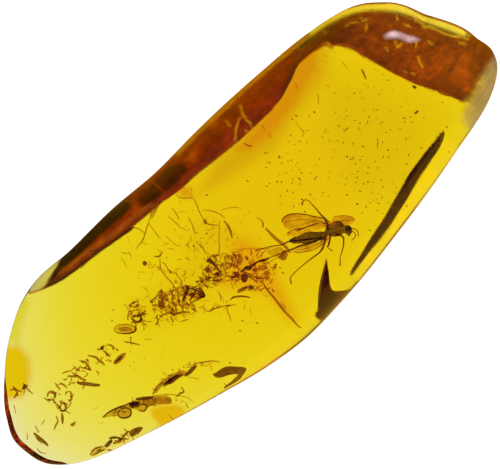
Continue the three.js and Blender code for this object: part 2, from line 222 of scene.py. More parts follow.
class Recipe(Tree):  # a geometry tree with named inputs, run once on an object
    def __init__(self, name, inputs):  # inputs are title: kind of socket
        super().__init__(bpy.data.node_groups.new(name, "GeometryNodeTree"))
        face = self.tree.interface
        face.new_socket("Geometry", in_out="INPUT", socket_type="NodeSocketGeometry")
        for title, kind in {**inputs, "Material": "Material"}.items():
            face.new_socket(title, in_out="INPUT", socket_type="NodeSocket" + kind)
        face.new_socket("Geometry", in_out="OUTPUT", socket_type="NodeSocketGeometry")
        self.entry = self.tree.nodes.new("NodeGroupInput")

    def given(self, title):
        return Wire(self, self.entry.outputs[title])

    def close(self, geometry):
        plain = self.node("GeometryNodeRealizeInstances", {}, {"Geometry": geometry})
        inputs = {"Geometry": plain, "Material": self.given("Material")}
        painted = self.node("GeometryNodeSetMaterial", {}, inputs)
        end = self.tree.nodes.new("NodeGroupOutput")
        self.feed(end.inputs["Geometry"], painted)

    def run(self, thing, values):
        modifier = thing.modifiers.new(self.tree.name, "NODES")
        modifier.node_group = self.tree
        for item in self.tree.interface.items_tree:
            if item.in_out == "INPUT" and item.name in values:
                modifier[item.identifier] = values[item.name]
        applyModifiers(thing)


# Meshes, and what every finished piece is told
def linked(name, mesh):
    thing = bpy.data.objects.new(name, mesh)
    bpy.context.scene.collection.objects.link(thing)
    return thing


def addMesh(name, points, faces, edges=(), smooth=True):  # points are in mm
    mesh = bpy.data.meshes.new(name)
    mesh.from_pydata([tuple(c * mm for c in p) for p in points], edges, [tuple(f) for f in faces])
    mesh.validate()
    mesh.polygons.foreach_set("use_smooth", [smooth] * len(mesh.polygons))
    return linked(name, mesh)


def keepNumbers(mesh, name, values, kind="FLOAT"):  # one or a colour for each point
    field = "color" if kind == "FLOAT_COLOR" else "value"
    kept = mesh.attributes.new(name, kind, "POINT").data
    kept.foreach_set(field, np.asarray(values, np.float32).ravel())


def faceOutwards(thing):
    form = bmesh.new()
    form.from_mesh(thing.data)
    bmesh.ops.recalc_face_normals(form, faces=form.faces)
    form.to_mesh(thing.data)
    form.free()


def applyModifiers(thing):  # leaves a plain mesh
    graph = bpy.context.evaluated_depsgraph_get()
    plain = bpy.data.meshes.new_from_object(thing.evaluated_get(graph))
    thing.modifiers.clear()
    thing.data = plain


def finishPiece(piece, material, slot, *nodes):  # nodes are the solids that it stands for
    piece.data.materials.clear()
    piece.data.materials.append(material)
    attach(piece, "root")
    if nodes:
        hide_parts(*nodes)


amberIndex = 1.54  # how much amber bends light

# The stone. Its skin is drawn by the angle round it and the level from the base over the rim to the crown.
stone = {
    "slenderness": 2.7,  # length over width, which evens out the steps round the rim
    "rim": [  # the widest line, from the thin end along the far side: x, y, height
        (-21.05, 0.6, 0.8), (-20.4, 2.0, 0.8), (-18.6, 4.15, 1.2), (-16.2, 6.1, 1.6),
        (-14.2, 7.15, 1.9), (-12.2, 7.6, 1.8), (-9.5, 7.5, 1.8), (-5.5, 7.65, 1.8), (-1.5, 7.5, 2.0),
        (2.5, 7.7, 2.5), (8.0, 7.72, 2.6), (12.5, 7.5, 2.8), (15.8, 6.85, 3.6), (17.8, 5.5, 4.3),
        (19.4, 2.8, 4.8), (20.75, -0.3, 4.5), (21.0, -1.9, 4.0), (20.35, -3.15, 3.2),
        (18.35, -4.35, 2.6), (14.05, -5.45, 2.4), (8.05, -6.7, 2.4), (2.0, -7.6, 2.4),
        (-1.5, -7.82, 2.4), (-4.5, -7.52, 2.4), (-9.0, -6.57, 2.3), (-14.0, -5.3, 2.0),
        (-18.4, -3.85, 1.4), (-20.3, -2.45, 0.9), (-21.0, -0.7, 0.8),
    ],
    "baseEdge": [  # where the base turns up into the bevels, in the same order: x, y
        (-20.5, 0.55), (-19.9, 1.85), (-18.2, 4.0), (-16.0, 6.0), (-14.3, 6.8), (-12.1, 6.2),
        (-11.0, 5.85), (-9.4, 5.45), (-7.6, 5.1), (-5.0, 4.7), (-2.2, 4.2), (0.3, 3.93), (3.5, 3.68),
        (6.3, 3.69), (8.1, 3.8), (9.6, 4.1), (10.6, 4.28), (11.9, 4.2), (13.2, 4.2), (13.7, 3.96),
        (14.05, 2.96), (14.55, 1.6), (15.1, 0.4), (15.7, -0.7), (16.5, -1.4), (17.3, -2.3),
        (18.4, -3.5), (18.05, -4.2),
        (14.0, -5.3), (8.0, -6.55), (2.0, -7.4), (-1.5, -7.65), (-4.5, -7.35), (-9.0, -6.4),
        (-14.0, -5.15), (-18.0, -3.75), (-19.9, -2.2), (-20.45, -0.7),
    ],
    "baseReach": 0.985,  # the most of the way to the rim that the base reaches
    "crownThin": 2.6,  # the crown's height at its two ends
    "crownThick": 8.6,
    "crownRise": (-23, 6),  # the x between which the crown climbs
    "swell": 0.1,  # low waves left by hand polishing
    "swellTurns": (0.33, 0.4),  # radians of a wave in one mm of x and of y
    "swellStart": 0.5,
    "domePower": 2.2,  # 2 would be round, more is squarer
    "flatSpot": (9.0, 3.2),  # half sizes of what it rests on
    "belly": 0.25,  # how steeply the base rises round that
    "steps": 600,  # round the stone
    "baseRings": 50,
    "bevelRings": 62,
    "crowding": 1.4,  # draws the rings of the base and the bevel together towards their outer edges
    "crownRings": 26,
    "rimRoundness": 0.22,  # share of the bevel's height that its rounded outer edge takes
    "rimPower": 9.0,  # how late the rounding starts
    "rimSlack": 0.01,  # mm above the rim that still count as the underside
}
chips = {  # old chips in the base, polished over
    "ledgeSlope": 0.65,
    "ledge": [  # where the ledge starts to rise, and how far across it rises: x, y, run
        (3.3, -4.28, 0.04), (4.36, -4.01, 0.15), (5.82, -3.63, 0.28), (7.62, -3.28, 0.34),
        (9.54, -2.85, 0.4), (10.87, -2.49, 0.45), (12.56, -2.13, 0.36), (13.76, -2.04, 0.14),
        (14.4, -2.0, 0.03),
    ],
    "wedgeLine": [(3.12, -3.25), (-0.5, -5.12)],  # where the wedge starts to rise
    "wedgeSlope": math.tan(math.radians(30)),
    "wedge": [
        (3.12, -3.25), (2.68, -3.76), (2.35, -4.04), (2.06, -4.28), (1.92, -4.44), (1.89, -4.56),
        (2.02, -4.7), (2.3, -4.85), (2.7, -5.1), (2.6, -9.0), (-2.0, -9.0), (-0.5, -5.12)],
    "wedgeShown": 9,  # corners of it that lie on the stone's skin
    "below": -1.0,  # the height where the cutters start
    "past": -9.0,  # the y past the stone where the ledge's cutter ends
    "skin": 0.01,  # mm that the wedge's cut goes in where it starts
    "smoothing": 4,  # stations between two given ones of the ledge
    "near": 0.65,  # mm from the ledge's line and the wedge's outline where their skin is refined
    "longest": 0.07,  # edges there are split until they are shorter than this
    "splits": 7,  # rounds of that
    "under": 1.6,  # the height up to which it is done
    "merged": 1e-7,  # metres between points that are made one
    "sharp": math.radians(18),  # edges that turn more than this stay sharp
}


def smoothStep(value, low, high):
    s = np.clip((value - low) / (high - low), 0, 1)
    return s * s * (3 - 2 * s)


def lineAround(points, column=None):  # a closed line through points, read by the angle round the stone
    rows = np.array(points, float)
    angle = np.arctan2(rows[:, 1], rows[:, 0] / stone["slenderness"])
    value = np.hypot(rows[:, 0] / stone["slenderness"], rows[:, 1]) if column is None else rows[:, column]
    order = np.argsort(angle)
    turns = np.concatenate([angle[order] + 2 * math.pi * k for k in (-1, 0, 1)])
    values = np.tile(value[order], 3)
    slopes = np.gradient(values)
    slopes[1:-1] = (values[2:] - values[:-2]) / (turns[2:] - turns[:-2])

    def read(at):
        k = np.clip(np.searchsorted(turns, at) - 1, 0, len(turns) - 2)
        width = turns[k + 1] - turns[k]
        s = (at - turns[k]) / width
        start = (2 * s**3 - 3 * s**2 + 1) * values[k] + (s**3 - 2 * s**2 + s) * width * slopes[k]
        return start + (3 * s**2 - 2 * s**3) * values[k + 1] + (s**3 - s**2) * width * slopes[k + 1]

    return read


rimReach = lineAround(stone["rim"])
rimHeight = lineAround(stone["rim"], 2)
baseReach = lineAround(stone["baseEdge"])


def crownHeight(x, y):
    climb = smoothStep(x, *stone["crownRise"])
    turnX, turnY = stone["swellTurns"]
    swell = stone["swell"] * np.sin(turnX * x + stone["swellStart"]) * np.cos(turnY * y)
    return stone["crownThin"] + (stone["crownThick"] - stone["crownThin"]) * climb + swell


def baseHeight(x, y):
    out = np.hypot(x / stone["flatSpot"][0], y / stone["flatSpot"][1])
    return stone["belly"] * np.maximum(0, out - 1) ** 2


def roundStone(x, y):  # the angle of a place, and its share of the way from the middle to the rim
    angle = np.arctan2(y, x / stone["slenderness"])
    return angle, np.hypot(x / stone["slenderness"], y) / rimReach(angle)


def topHeight(x, y):  # of the skin's upper side over a place
    angle, share = roundStone(x, y)
    lift = (1 - np.clip(share, 0, 1) ** stone["domePower"]) ** (1 / stone["domePower"])
    return rimHeight(angle) + (crownHeight(x, y) - rimHeight(angle)) * lift


def stoneRings():
    angle = np.linspace(-math.pi, math.pi, stone["steps"], endpoint=False)
    rim = rimReach(angle)
    edge = np.minimum(baseReach(angle) / rim, stone["baseReach"])
    height = rimHeight(angle)

    def ring(share, z):
        x = share * rim * stone["slenderness"] * np.cos(angle)
        y = share * rim * np.sin(angle)
        return np.stack([x, y, z(x, y)], 1)

    def crowded(count):
        return [1 - (1 - i / count) ** stone["crowding"] for i in range(1, count + 1)]

    rings = [ring(edge * out, baseHeight) for out in crowded(stone["baseRings"])]
    for out in crowded(stone["bevelRings"]):
        rounding = 1 - (1 - out ** stone["rimPower"]) ** 0.5
        rise = (1 - stone["rimRoundness"]) * out + stone["rimRoundness"] * rounding
        share = edge + (1 - edge) * out
        rings.append(ring(share, lambda x, y: baseHeight(x, y) * (1 - rise) + height * rise))
    for i in range(1, stone["crownRings"]):
        turn = math.pi / 2 * i / stone["crownRings"]
        lift = math.sin(turn) ** (2 / stone["domePower"])
        share = math.cos(turn) ** (2 / stone["domePower"])
        rings.append(ring(share, lambda x, y: height + (crownHeight(x, y) - height) * lift))
    return rings


def ringMesh(name, rings, bottom, top=None):  # closed by a point at each end, or left open at the top
    count = len(rings[0])
    points = [bottom] + [tuple(p) for ring in rings for p in ring]
    faces = [(0, 1 + (k + 1) % count, 1 + k) for k in range(count)]
    for j in range(len(rings) - 1):
        low = 1 + j * count
        faces += [(low + k, low + (k + 1) % count, low + count + (k + 1) % count, low + count + k)
                  for k in range(count)]
    last = 1 + (len(rings) - 1) * count
    if top:
        points.append(top)
        faces += [(last + k, last + (k + 1) % count, len(points) - 1) for k in range(count)]
    return addMesh(name, points, faces)


def ledgeCutter():
    given = np.array(chips["ledge"])
    knots = np.arange(len(given))
    fine = np.linspace(0, len(given) - 1, (len(given) - 1) * chips["smoothing"] + 1)
    points, faces = [], []
    for x, line, run in zip(*(np.interp(fine, knots, column) for column in given.T)):
        floor = float(baseHeight(x, line))
        for z in (chips["below"], floor + run * chips["ledgeSlope"]):
            points += [(x, line - (z - floor) / chips["ledgeSlope"], z), (x, chips["past"], z)]
    for i in range(len(fine) - 1):
        a, b = 4 * i, 4 * i + 4
        faces += [(a, b, b + 1, a + 1), (a + 2, a + 3, b + 3, b + 2)]
        faces += [(a, a + 2, b + 2, b), (a + 1, b + 1, b + 3, a + 3)]
    faces += [(0, 1, 3, 2), (b, b + 2, b + 3, b + 1)]
    return addMesh("ledgeCutter", points, faces, smooth=False)


def wedgeCutter():
    start, end = (Vector(p) for p in chips["wedgeLine"])
    along = (end - start).normalized()
    count = len(chips["wedge"])
    points = [(x, y, chips["below"]) for x, y in chips["wedge"]]
    for x, y in chips["wedge"]:
        out = max(0, along.x * (y - start.y) - along.y * (x - start.x))
        points.append((x, y, chips["skin"] + out * chips["wedgeSlope"]))
    faces = [tuple(range(count)), tuple(range(2 * count - 1, count - 1, -1))]
    faces += [(k, (k + 1) % count, count + (k + 1) % count, count + k) for k in range(count)]
    return addMesh("wedgeCutter", points, faces, smooth=False)


def cutChips(skin):
    for cutter in (ledgeCutter(), wedgeCutter()):
        faceOutwards(cutter)
        cut = skin.modifiers.new(cutter.name, "BOOLEAN")
        cut.operation = "DIFFERENCE"
        cut.solver = "EXACT"
        cut.object = cutter
    applyModifiers(skin)
    for cutter in [o for o in bpy.data.objects if o.name.endswith("Cutter")]:
        bpy.data.objects.remove(cutter)
    form = bmesh.new()
    form.from_mesh(skin.data)
    bmesh.ops.remove_doubles(form, verts=form.verts, dist=chips["merged"])
    for edge in form.edges:
        edge.smooth = len(edge.link_faces) == 2 and edge.calc_face_angle(0) < chips["sharp"]
    for face in form.faces:
        face.smooth = True
    form.to_mesh(skin.data)
    form.free()


def refineChips(skin):  # gives the chips fine faces to be coloured
    ledgeLine = [(x, y) for x, y, run in chips["ledge"]]
    wedgeOutline = chips["wedge"][:chips["wedgeShown"]] + chips["wedgeLine"][1:]

    def gaps(places):  # mm from the chips
        level = np.array(places)[:, :2] / mm
        return np.minimum(lineDistance(level, ledgeLine), -outlineDepth(level, wedgeOutline))

    form = bmesh.new()
    form.from_mesh(skin.data)
    for _ in range(chips["splits"]):
        long = [edge for edge in form.edges if edge.calc_length() > chips["longest"] * mm]
        starts = [edge.verts[0].co for edge in long]
        ends = [edge.verts[1].co for edge in long]
        middles = [(start + end) / 2 for start, end in zip(starts, ends)]
        gap = np.minimum(np.minimum(gaps(starts), gaps(ends)), gaps(middles))
        near = (gap < chips["near"]) & (np.array(middles)[:, 2] < chips["under"] * mm)
        bmesh.ops.subdivide_edges(form, edges=[edge for edge, on in zip(long, near) if on], cuts=1)
        many = [face for face in form.faces if len(face.verts) > 4]  # left so by the splits beside them
        bmesh.ops.triangulate(form, faces=many)
    form.to_mesh(skin.data)
    form.free()


def fitIntoBox(thing, low, high):  # keeps the finer mesh inside the solid's box
    flat = np.empty(len(thing.data.vertices) * 3)
    thing.data.vertices.foreach_get("co", flat)
    points = flat.reshape(-1, 3)
    least, most = points.min(0), points.max(0)
    newLeast, newMost = np.maximum(least, low), np.minimum(most, high)
    points = newLeast + (points - least) * (newMost - newLeast) / (most - least)
    thing.data.vertices.foreach_set("co", points.ravel())
    thing.data.update()


def crownNormals(x, y):
    reach = photo["slopeReach"]
    slopeX = (topHeight(x + reach, y) - topHeight(x - reach, y)) / (2 * reach)
    slopeY = (topHeight(x, y + reach) - topHeight(x, y - reach)) / (2 * reach)
    normals = np.stack([-slopeX, -slopeY, np.ones_like(x)], 1)
    return normals / np.linalg.norm(normals, axis=1)[:, None]


def pixelsOver(x, y):  # the photo's pixels straight over places on its plane
    across = x * math.cos(photo["tilt"]) - y * math.sin(photo["tilt"])
    upward = x * math.sin(photo["tilt"]) + y * math.cos(photo["tilt"])
    return np.stack([across, -upward], 1) / photo["pixelSize"] + photo["stoneMiddle"]


def sightLines(pixels):  # where they enter the crown, and their way on inside
    starts = underPixels(np.array(pixels, float))
    rays = starts - np.array(lensPlace)
    rays /= np.linalg.norm(rays, axis=1)[:, None]
    entries = starts
    for _ in range(photo["tries"]):
        fall = topHeight(entries[:, 0], entries[:, 1]) - starts[:, 2]
        entries = starts + rays * (fall / rays[:, 2])[:, None]
    normals = crownNormals(entries[:, 0], entries[:, 1])
    facing = -(normals * rays).sum(1)[:, None]
    turned = facing / amberIndex - np.sqrt(1 - (1 - facing**2) / amberIndex**2)  # by the law of refraction
    return entries, rays / amberIndex + normals * turned


def landings(pixels, heights):  # the true places, at some heights, of what shows at pixels of the photo
    entries, rays = sightLines(pixels)
    return entries + rays * ((heights - entries[:, 2]) / rays[:, 2])[:, None]


def shownPlaces(mesh):  # the skin that each sight line meets from inside, and the pixels of those lines
    form = bmesh.new()
    form.from_mesh(mesh)
    skin = BVHTree.FromBMesh(form)
    form.free()
    size = (photo["height"], photo["width"])
    rows, columns = np.indices(size).reshape(2, -1)
    pixels = np.stack([columns, rows], 1)
    on = roundStone(*underPixels(pixels)[:, :2].T)[1] < photo["onStone"]
    entries, rays = sightLines(pixels[on])
    shown = np.full((on.sum(), 3), np.nan)
    for k, (entry, ray) in enumerate(zip(entries, rays)):
        place = skin.ray_cast(Vector(entry + ray * photo["clearance"]) * mm, Vector(ray))[0]
        if place:
            shown[k] = place / mm
    places = np.full((len(pixels), 3), np.nan)
    places[on] = shown
    down, across = np.gradient(places.reshape(*size, 3)[..., :2], axis=(0, 1))
    turn = down[..., 0] * across[..., 1] - down[..., 1] * across[..., 0]
    kept = turn.ravel() / photo["pixelSize"] ** 2 > photo["leastTurn"]
    return places[kept], pixels[kept]


def pixelsOf(places, mesh):  # where places of the skin's underside show on the photo
    shown, pixels = shownPlaces(mesh)
    tree = KDTree(len(shown))
    for index, place in enumerate(shown):
        tree.insert(place, index)
    tree.balance()
    angle, share = roundStone(places[:, 0], places[:, 1])
    outward = 1 / np.maximum(share, photo["leastShare"])
    found = pixelsOver(places[:, 0] * outward, places[:, 1] * outward)  # where hidden skin counts as shown
    for k, place in enumerate(places):
        near = tree.find_n(place, photo["neighbours"])
        if near[0][2] < photo["hidden"]:
            weights = np.array([1 / (gap + photo["leastGap"]) for _, _, gap in near])
            found[k] = weights @ pixels[[index for _, index, _ in near]] / weights.sum()
    return found


# The crust and painted shade on the bevels, as traced on the photo: frosted brown skin stands for the dark
# that the bevels' total inner reflection shows, with painted reflections, painted light on the rims and the
# amber's own tints
crustAndShade = {
    "frosted": 0.8,  # roughness of frosted skin, crust and painted shade alike, and of polished skin
    "polished": 0.02,
    "absorbed": {"red": 5.0, "green": 48.0, "blue": 1000.0},  # per metre of clear amber
    "clearGain": (0.86, 0.57, 0.05),  # what clear and frosted amber let through, by which colours are set
    "frostGain": (0.42, 0.3, 0.05),
    "solidGain": (0.26, 0.19, 0.05),  # what the solid brown layer of crust and painted shade gives back
    "leastGain": 1e-6,
    "screenWhite": 255,
    "screenPower": 2.2,
    "grain": {"size": 0.55, "stretch": (0.4, 1, 1), "detail": 5, "roughness": 0.7},  # size in mm
    "grainStops": [(0.36, (0.55, 0.48, 0.2)), (0.5, (0.95, 0.92, 0.7)), (0.64, (1.45, 1.7, 1.0))],
    "skins": {  # colour as seen, frost, openness, solidity, blur in pixels
        "hazeWide": ((224, 170, 0), 0.0, 0.0, 0.0, 24),
        "hazeNear": ((219, 142, 0), 0.1, 0.0, 0.0, 13),
        "thickShade": ((230, 190, 0), 0.0, 0.0, 0.0, 50),
        "thinPatch": ((229, 168, 0), 0.05, 0.0, 0.0, 8),
        "thinSide": ((222, 184, 34), 0.05, 0.0, 0.0, 10),
        "seamWarm": ((233, 165, 0), 0.0, 0.0, 0.0, 18),
        "seamSoft": ((232, 190, 6), 0.0, 0.0, 0.0, 24),
        "fan": ((230, 166, 4), 0.0, 0.0, 0.0, 6),
        # brown, endBrown, black, shade and edge are painted shade: the dark that the bevels show by total
        # inner reflection, as frosted brown crust
        "brown": ((126, 46, 0), 1.0, 0.0, 0.6, 1.5),
        "endBrown": ((126, 60, 0), 1.0, 0.0, 0.6, 1.5),
        "black": ((50, 34, 0), 1.0, 0.0, 0.8, 4),
        "shade": ((72, 32, 0), 1.0, 0.0, 0.7, 5),
        "edge": ((76, 40, 0), 1.0, 0.0, 0.8, 1.5),
        # streak, orange and softOrange are lighter parts of that painted shade; in the band they are painted
        # reflections of flakes and cracks inside
        "streak": ((142, 72, 2), 1.0, 0.0, 0.3, 3),
        "orange": ((142, 66, 2), 1.0, 0.0, 0.35, 3),
        "softOrange": ((136, 66, 2), 1.0, 0.0, 0.5, 9),
        # painted light: the lit orange fringe along the band's outer edge
        "fringe": ((205, 110, 8), 0.95, 0.1, 0.2, 3),
        "milky": ((214, 156, 50), 0.75, 0.14, 0.2, 12),
        # ledge and wedge are painted shade: the dark that the chips' slopes show, as solid brown crust
        "ledge": ((88, 56, 0), 1.0, 0.0, 1.0, 1.8),
        "wedge": ((88, 38, 0), 1.0, 0.0, 1.0, 1.5),
        # painted light: made half see-through and pale where light shines past the band's tip
        "lobe": ((235, 205, 40), 0.8, 0.5, 0.0, 2),
        # gap and line are painted reflections of the flakes, fissures and cracks inside, as bright and
        # orange marks in the painted shade
        "gap": ((205, 128, 16), 0.9, 0.1, 0.05, 1.8),
        "line": ((140, 62, 2), 1.0, 0.0, 0.3, 1.2),
        # clearRim and paleEdge are painted light: rims made see-through and pale so that they show bright
        "clearRim": ((235, 200, 40), 0.0, 0.8, 0.0, 6),
        "paleEdge": ((240, 225, 140), 0.0, 0.5, 0.0, 10),
    },
    "paleCoat": {  # a pale, frosted coat on the crown's skin at the thick end
        "colour": (0.8, 0.62, 0.5),
        "frost": 0.3,
        "solid": 0.36,
        "blur": 14,
        "outline": [
            (464, 118), (471, 104), (478, 92), (486, 74), (496, 56), (512, 60), (512, 95), (496, 124),
            (484, 134), (472, 130)],
    },
    "areas": [  # skin, outline on the photo, the lowest first
        ("thickShade", [
            (322, 66), (390, 92), (450, 118), (440, 150), (400, 200), (350, 190), (320, 140)]),
        ("hazeWide", [
            (196, 196), (215, 160), (250, 120), (275, 84), (290, 50), (330, 40), (326, 76), (300, 112),
            (276, 146), (240, 172), (216, 186)]),
        ("hazeNear", [
            (236, 150), (262, 118), (284, 80), (292, 50), (318, 44), (316, 70), (296, 104), (272, 134),
            (250, 150)]),
        ("thinPatch", [
            (-6, 347), (10, 345), (18, 344), (25, 350), (30, 358), (32, 368), (31, 380), (28, 390),
            (22, 398), (8, 401), (-6, 401)]),
        ("thinSide", [(-4, 345), (8, 320), (24, 296), (32, 300), (24, 322), (20, 344)]),
        ("hazeNear", [(177, 190), (184, 185), (192, 188), (191, 197), (182, 198)]),  # a spot beside the band
        ("brown", [  # the band along the far side, painted shade
            (44, 288), (60, 280.5), (80, 266), (100, 250.5), (120, 236.5), (140, 221), (163, 202),
            (180, 190), (200, 172), (220, 156.5), (239, 141), (253, 128), (272, 110), (286, 90), (296, 67),
            (300, 50), (292, 40), (262, 40), (210, 90), (150, 150), (100, 200), (56, 240), (60, 262),
            (50, 277)]),
        ("black", [  # its dark end, deeper painted shade
            (46, 286), (62, 272), (80, 255), (100, 235), (120, 218), (134, 205), (120, 190), (90, 210),
            (56, 240), (58, 262)]),
        ("shade", [  # its shaded middle
            (136, 200), (152, 182), (168, 166), (184, 162), (188, 170), (176, 183), (158, 198),
            (146, 208)]),
        ("orange", [(186, 160), (191, 151), (198, 155), (194, 163)]),  # two spots in it, painted reflections
        ("orange", [(209, 120), (214, 115), (219, 124), (212, 129)]),
        ("endBrown", [  # the thick end, painted shade
            (295, 68), (311, 53), (324, 46), (338, 45.5), (352, 50), (370, 60.5), (390, 71.5), (410, 82),
            (430, 89.5), (450, 96), (464, 103), (474, 95), (480, 82), (487, 71), (493, 62), (502, 56),
            (492, 40), (474, 30), (466, 39), (452, 36), (438, 31), (424, 26), (410, 18), (400, 14),
            (390, 12), (380, 11), (370, 11.5), (360, 13), (350, 15.5), (340, 20), (330, 26), (320, 34),
            (310, 42), (300, 50)]),
        ("softOrange", [(405, 56), (440, 50), (452, 60), (450, 84), (420, 76)]),  # its brighter part, lighter painted shade
        ("orange", [  # its orange corner, lighter within the painted shade
            (453, 72), (457, 60), (461, 52), (468, 51), (470, 60), (467, 70), (469, 80), (471, 88),
            (466, 93), (458, 87), (450, 82)]),
        # painted shade on the ledge's slope
        ("ledge", [
            (444, 131), (437, 139), (425, 153), (410, 173), (400, 191), (385, 217), (370, 240), (358, 260),
            (351, 272), (353, 275), (360, 265), (370, 252), (380, 240), (392, 224), (405, 203), (420, 178),
            (432, 160), (441, 145)]),
        # painted shade on the wedge's slope
        ("wedge", [
            (327, 258), (325, 267), (323, 276), (321, 288), (319.5, 298), (316, 330), (332, 322),
            (352, 294), (348, 290.5), (344, 293), (340, 294.5), (336, 293.5), (332.5, 290), (330.5, 285),
            (329.5, 278), (328.5, 270)]),
        ("seamWarm", [
            (200, 272), (208, 250), (222, 238), (246, 238), (262, 250), (272, 266), (284, 290), (298, 318),
            (290, 322), (268, 296), (246, 288), (222, 288)]),
        ("seamSoft", [
            (120, 326), (134, 300), (160, 284), (186, 262), (196, 226), (212, 214), (232, 226), (230, 270),
            (206, 300), (190, 318), (150, 330)]),
        ("fan", [
            (150, 409), (160, 405), (176, 404), (187, 409), (176, 419), (160, 426), (152, 418)]),
        # painted light: the band's tip made see-through
        ("lobe", [(30, 292), (43, 290), (49, 278), (59, 262), (56, 240), (40, 240), (24, 290)]),
        ("milky", [
            (463, 112), (465, 103), (474, 95), (480, 82), (487, 71), (493, 62), (506, 60), (506, 90),
            (494, 116), (484, 128), (470, 132), (462, 124)]),
    ],
    "strokes": {  # skin: width in pixels and line on the photo, of each
        "clearRim": [  # the thin rim that light shines past, painted light: made see-through and pale
            (16, [(298, 34), (310, 26), (324, 16.5), (338, 9.5), (352, 4.5), (368, 2), (384, 2),
                (400, 4), (414, 8), (428, 14), (442, 19.5), (456, 24.5), (464, 28)]),
        ],
        # painted light: a pale, see-through edge beside the ledge
        "paleEdge": [
            (12, [(470, 134), (460, 149), (448, 167), (436, 186), (424, 205)]),
        ],
        # painted light: the lit fringe along the band's outer edge
        "fringe": [
            (8, [(177, 151), (190, 137), (200, 127.5), (220, 109), (240, 90), (260, 72.5), (280, 55.5),
                (296, 43), (306, 35)]),
        ],
        "edge": [  # the dark inner edge of the band, painted shade
            (3, [(44, 288), (60, 280.5), (80, 266), (100, 250.5), (120, 236.5), (132, 228)]),
        ],
        # painted reflections along the band's dark end
        "streak": [
            (4.5, [(60, 273), (72, 264), (84, 254), (98, 244), (112, 235), (126, 224), (138, 213),
                (150, 205)]),
        ],
        "orange": [  # spots in the dark end of the band, painted reflections
            (2.5, [(64, 269), (69, 265)]),
            (2.5, [(79, 257), (84, 253)]),
            (3, [(93, 247), (98, 244)]),
            (3, [(104, 239), (108, 236)]),
            (3, [(113, 232), (123, 225), (129, 220)]),
            (3, [(134, 213), (140, 209)]),
        ],
        "line": [  # cracks across the band, painted as their reflections
            (1.4, [(126, 199), (133, 206), (141, 214)]),
            (1.4, [(150, 180), (158, 187), (164, 193)]),
        ],
        "gap": [  # fissures and bright flakes in the brown, painted as their reflections
            (1.7, [(240, 105), (241.5, 111), (245, 118)]),
            (1.6, [(239, 119), (236, 128), (235, 140)]),
            (1.7, [(245, 117), (250, 123), (254, 130)]),
            (1.3, [(226, 121), (230, 126)]),
            (1.3, [(244, 130), (250, 134), (255, 132)]),
            (1.6, [(324, 30), (326, 34)]),
            (1.6, [(347, 26), (352, 22), (358, 22.5)]),
            (1.4, [(361, 17), (363, 21), (368, 18)]),
            (1.6, [(367, 23), (366, 31)]),
            (1.4, [(396, 15), (398, 19)]),
            (1.4, [(404, 24), (411, 27)]),
            (1.6, [(395, 41), (398, 47), (402, 43)]),
            (1.4, [(417, 41), (416, 47)]),
            (1.7, [(428, 41), (433, 44)]),
            (1.3, [(386, 48), (388, 51)]),
            (1.9, [(418, 57), (420, 62), (423, 67)]),
            (1.3, [(405, 71), (407, 73)]),
            (1.3, [(412, 73), (415, 75)]),
            (1.3, [(459, 42), (466, 45)]),
            (1.7, [(415, 19), (424, 24.5)]),
            (2.2, [(424, 27), (430, 26), (438, 30), (446, 34), (452, 36), (460, 36.5), (468, 39)]),
            (1.7, [(478, 82), (481, 86), (484, 90)]),
        ],
    },
}


def linear(seen):  # a screen colour as light
    return (np.array(seen) / crustAndShade["screenWhite"]) ** crustAndShade["screenPower"]


def crustColour(seen, frost, solid):  # the base colour that shows as a seen colour
    clear, frosted = np.array(crustAndShade["clearGain"]), np.array(crustAndShade["frostGain"])
    through = (1 - solid) * (clear + (frosted - clear) * frost)  # works on the base colour's square root
    back = solid * np.array(crustAndShade["solidGain"])
    divisor = through + np.sqrt(through**2 + 4 * back * linear(seen))
    root = 2 * linear(seen) / np.maximum(divisor, crustAndShade["leastGain"])
    return np.clip(root, 0, 1) ** 2


def lineDistance(places, line):
    nearest = np.full(len(places), np.inf)
    for start, end in zip(line, line[1:]):
        along = np.subtract(end, start)
        share = np.clip((places - start) @ along / (along @ along), 0, 1)
        nearest = np.minimum(nearest, np.hypot(*(places - start - share[:, None] * along).T))
    return nearest


def outlineDepth(places, outline):  # how far inside an outline, negative outside it
    closed = np.array([*outline, outline[0]], float)
    inside = np.zeros(len(places), bool)
    for (startX, startY), (endX, endY) in zip(closed, closed[1:]):
        spans = (startY > places[:, 1]) != (endY > places[:, 1])
        crossing = startX + (places[:, 1] - startY) * (endX - startX) / ((endY - startY) or 1)
        inside ^= spans & (places[:, 0] < crossing)
    return np.where(inside, 1, -1) * lineDistance(places, closed)


def bareSkin(count):  # clear and polished: base colour, frost, openness, solidity
    return np.concatenate([np.ones((count, 3)), np.zeros((count, 3))], 1)


def coated(painted, depth, blur, coat):  # with a coat within an outline, soft at its edge
    return painted + smoothStep(depth, -blur / 2, blur / 2)[:, None] * (np.array(coat) - painted)


def paintCrustAndShade(places, mesh):  # the skin's underside, area by area: crust, painted shade, painted reflections and painted light
    pixels = pixelsOf(places, mesh)
    painted = bareSkin(len(places))
    layers = [(skin, outlineDepth(pixels, outline)) for skin, outline in crustAndShade["areas"]]
    layers += [(skin, width / 2 - lineDistance(pixels, line))
               for skin, strokes in crustAndShade["strokes"].items() for width, line in strokes]
    for skin, depth in layers:
        seen, frost, openness, solid, blur = crustAndShade["skins"][skin]
        coat = [*crustColour(seen, frost, solid), frost, openness, solid]
        painted = coated(painted, depth, blur, coat)
    return painted


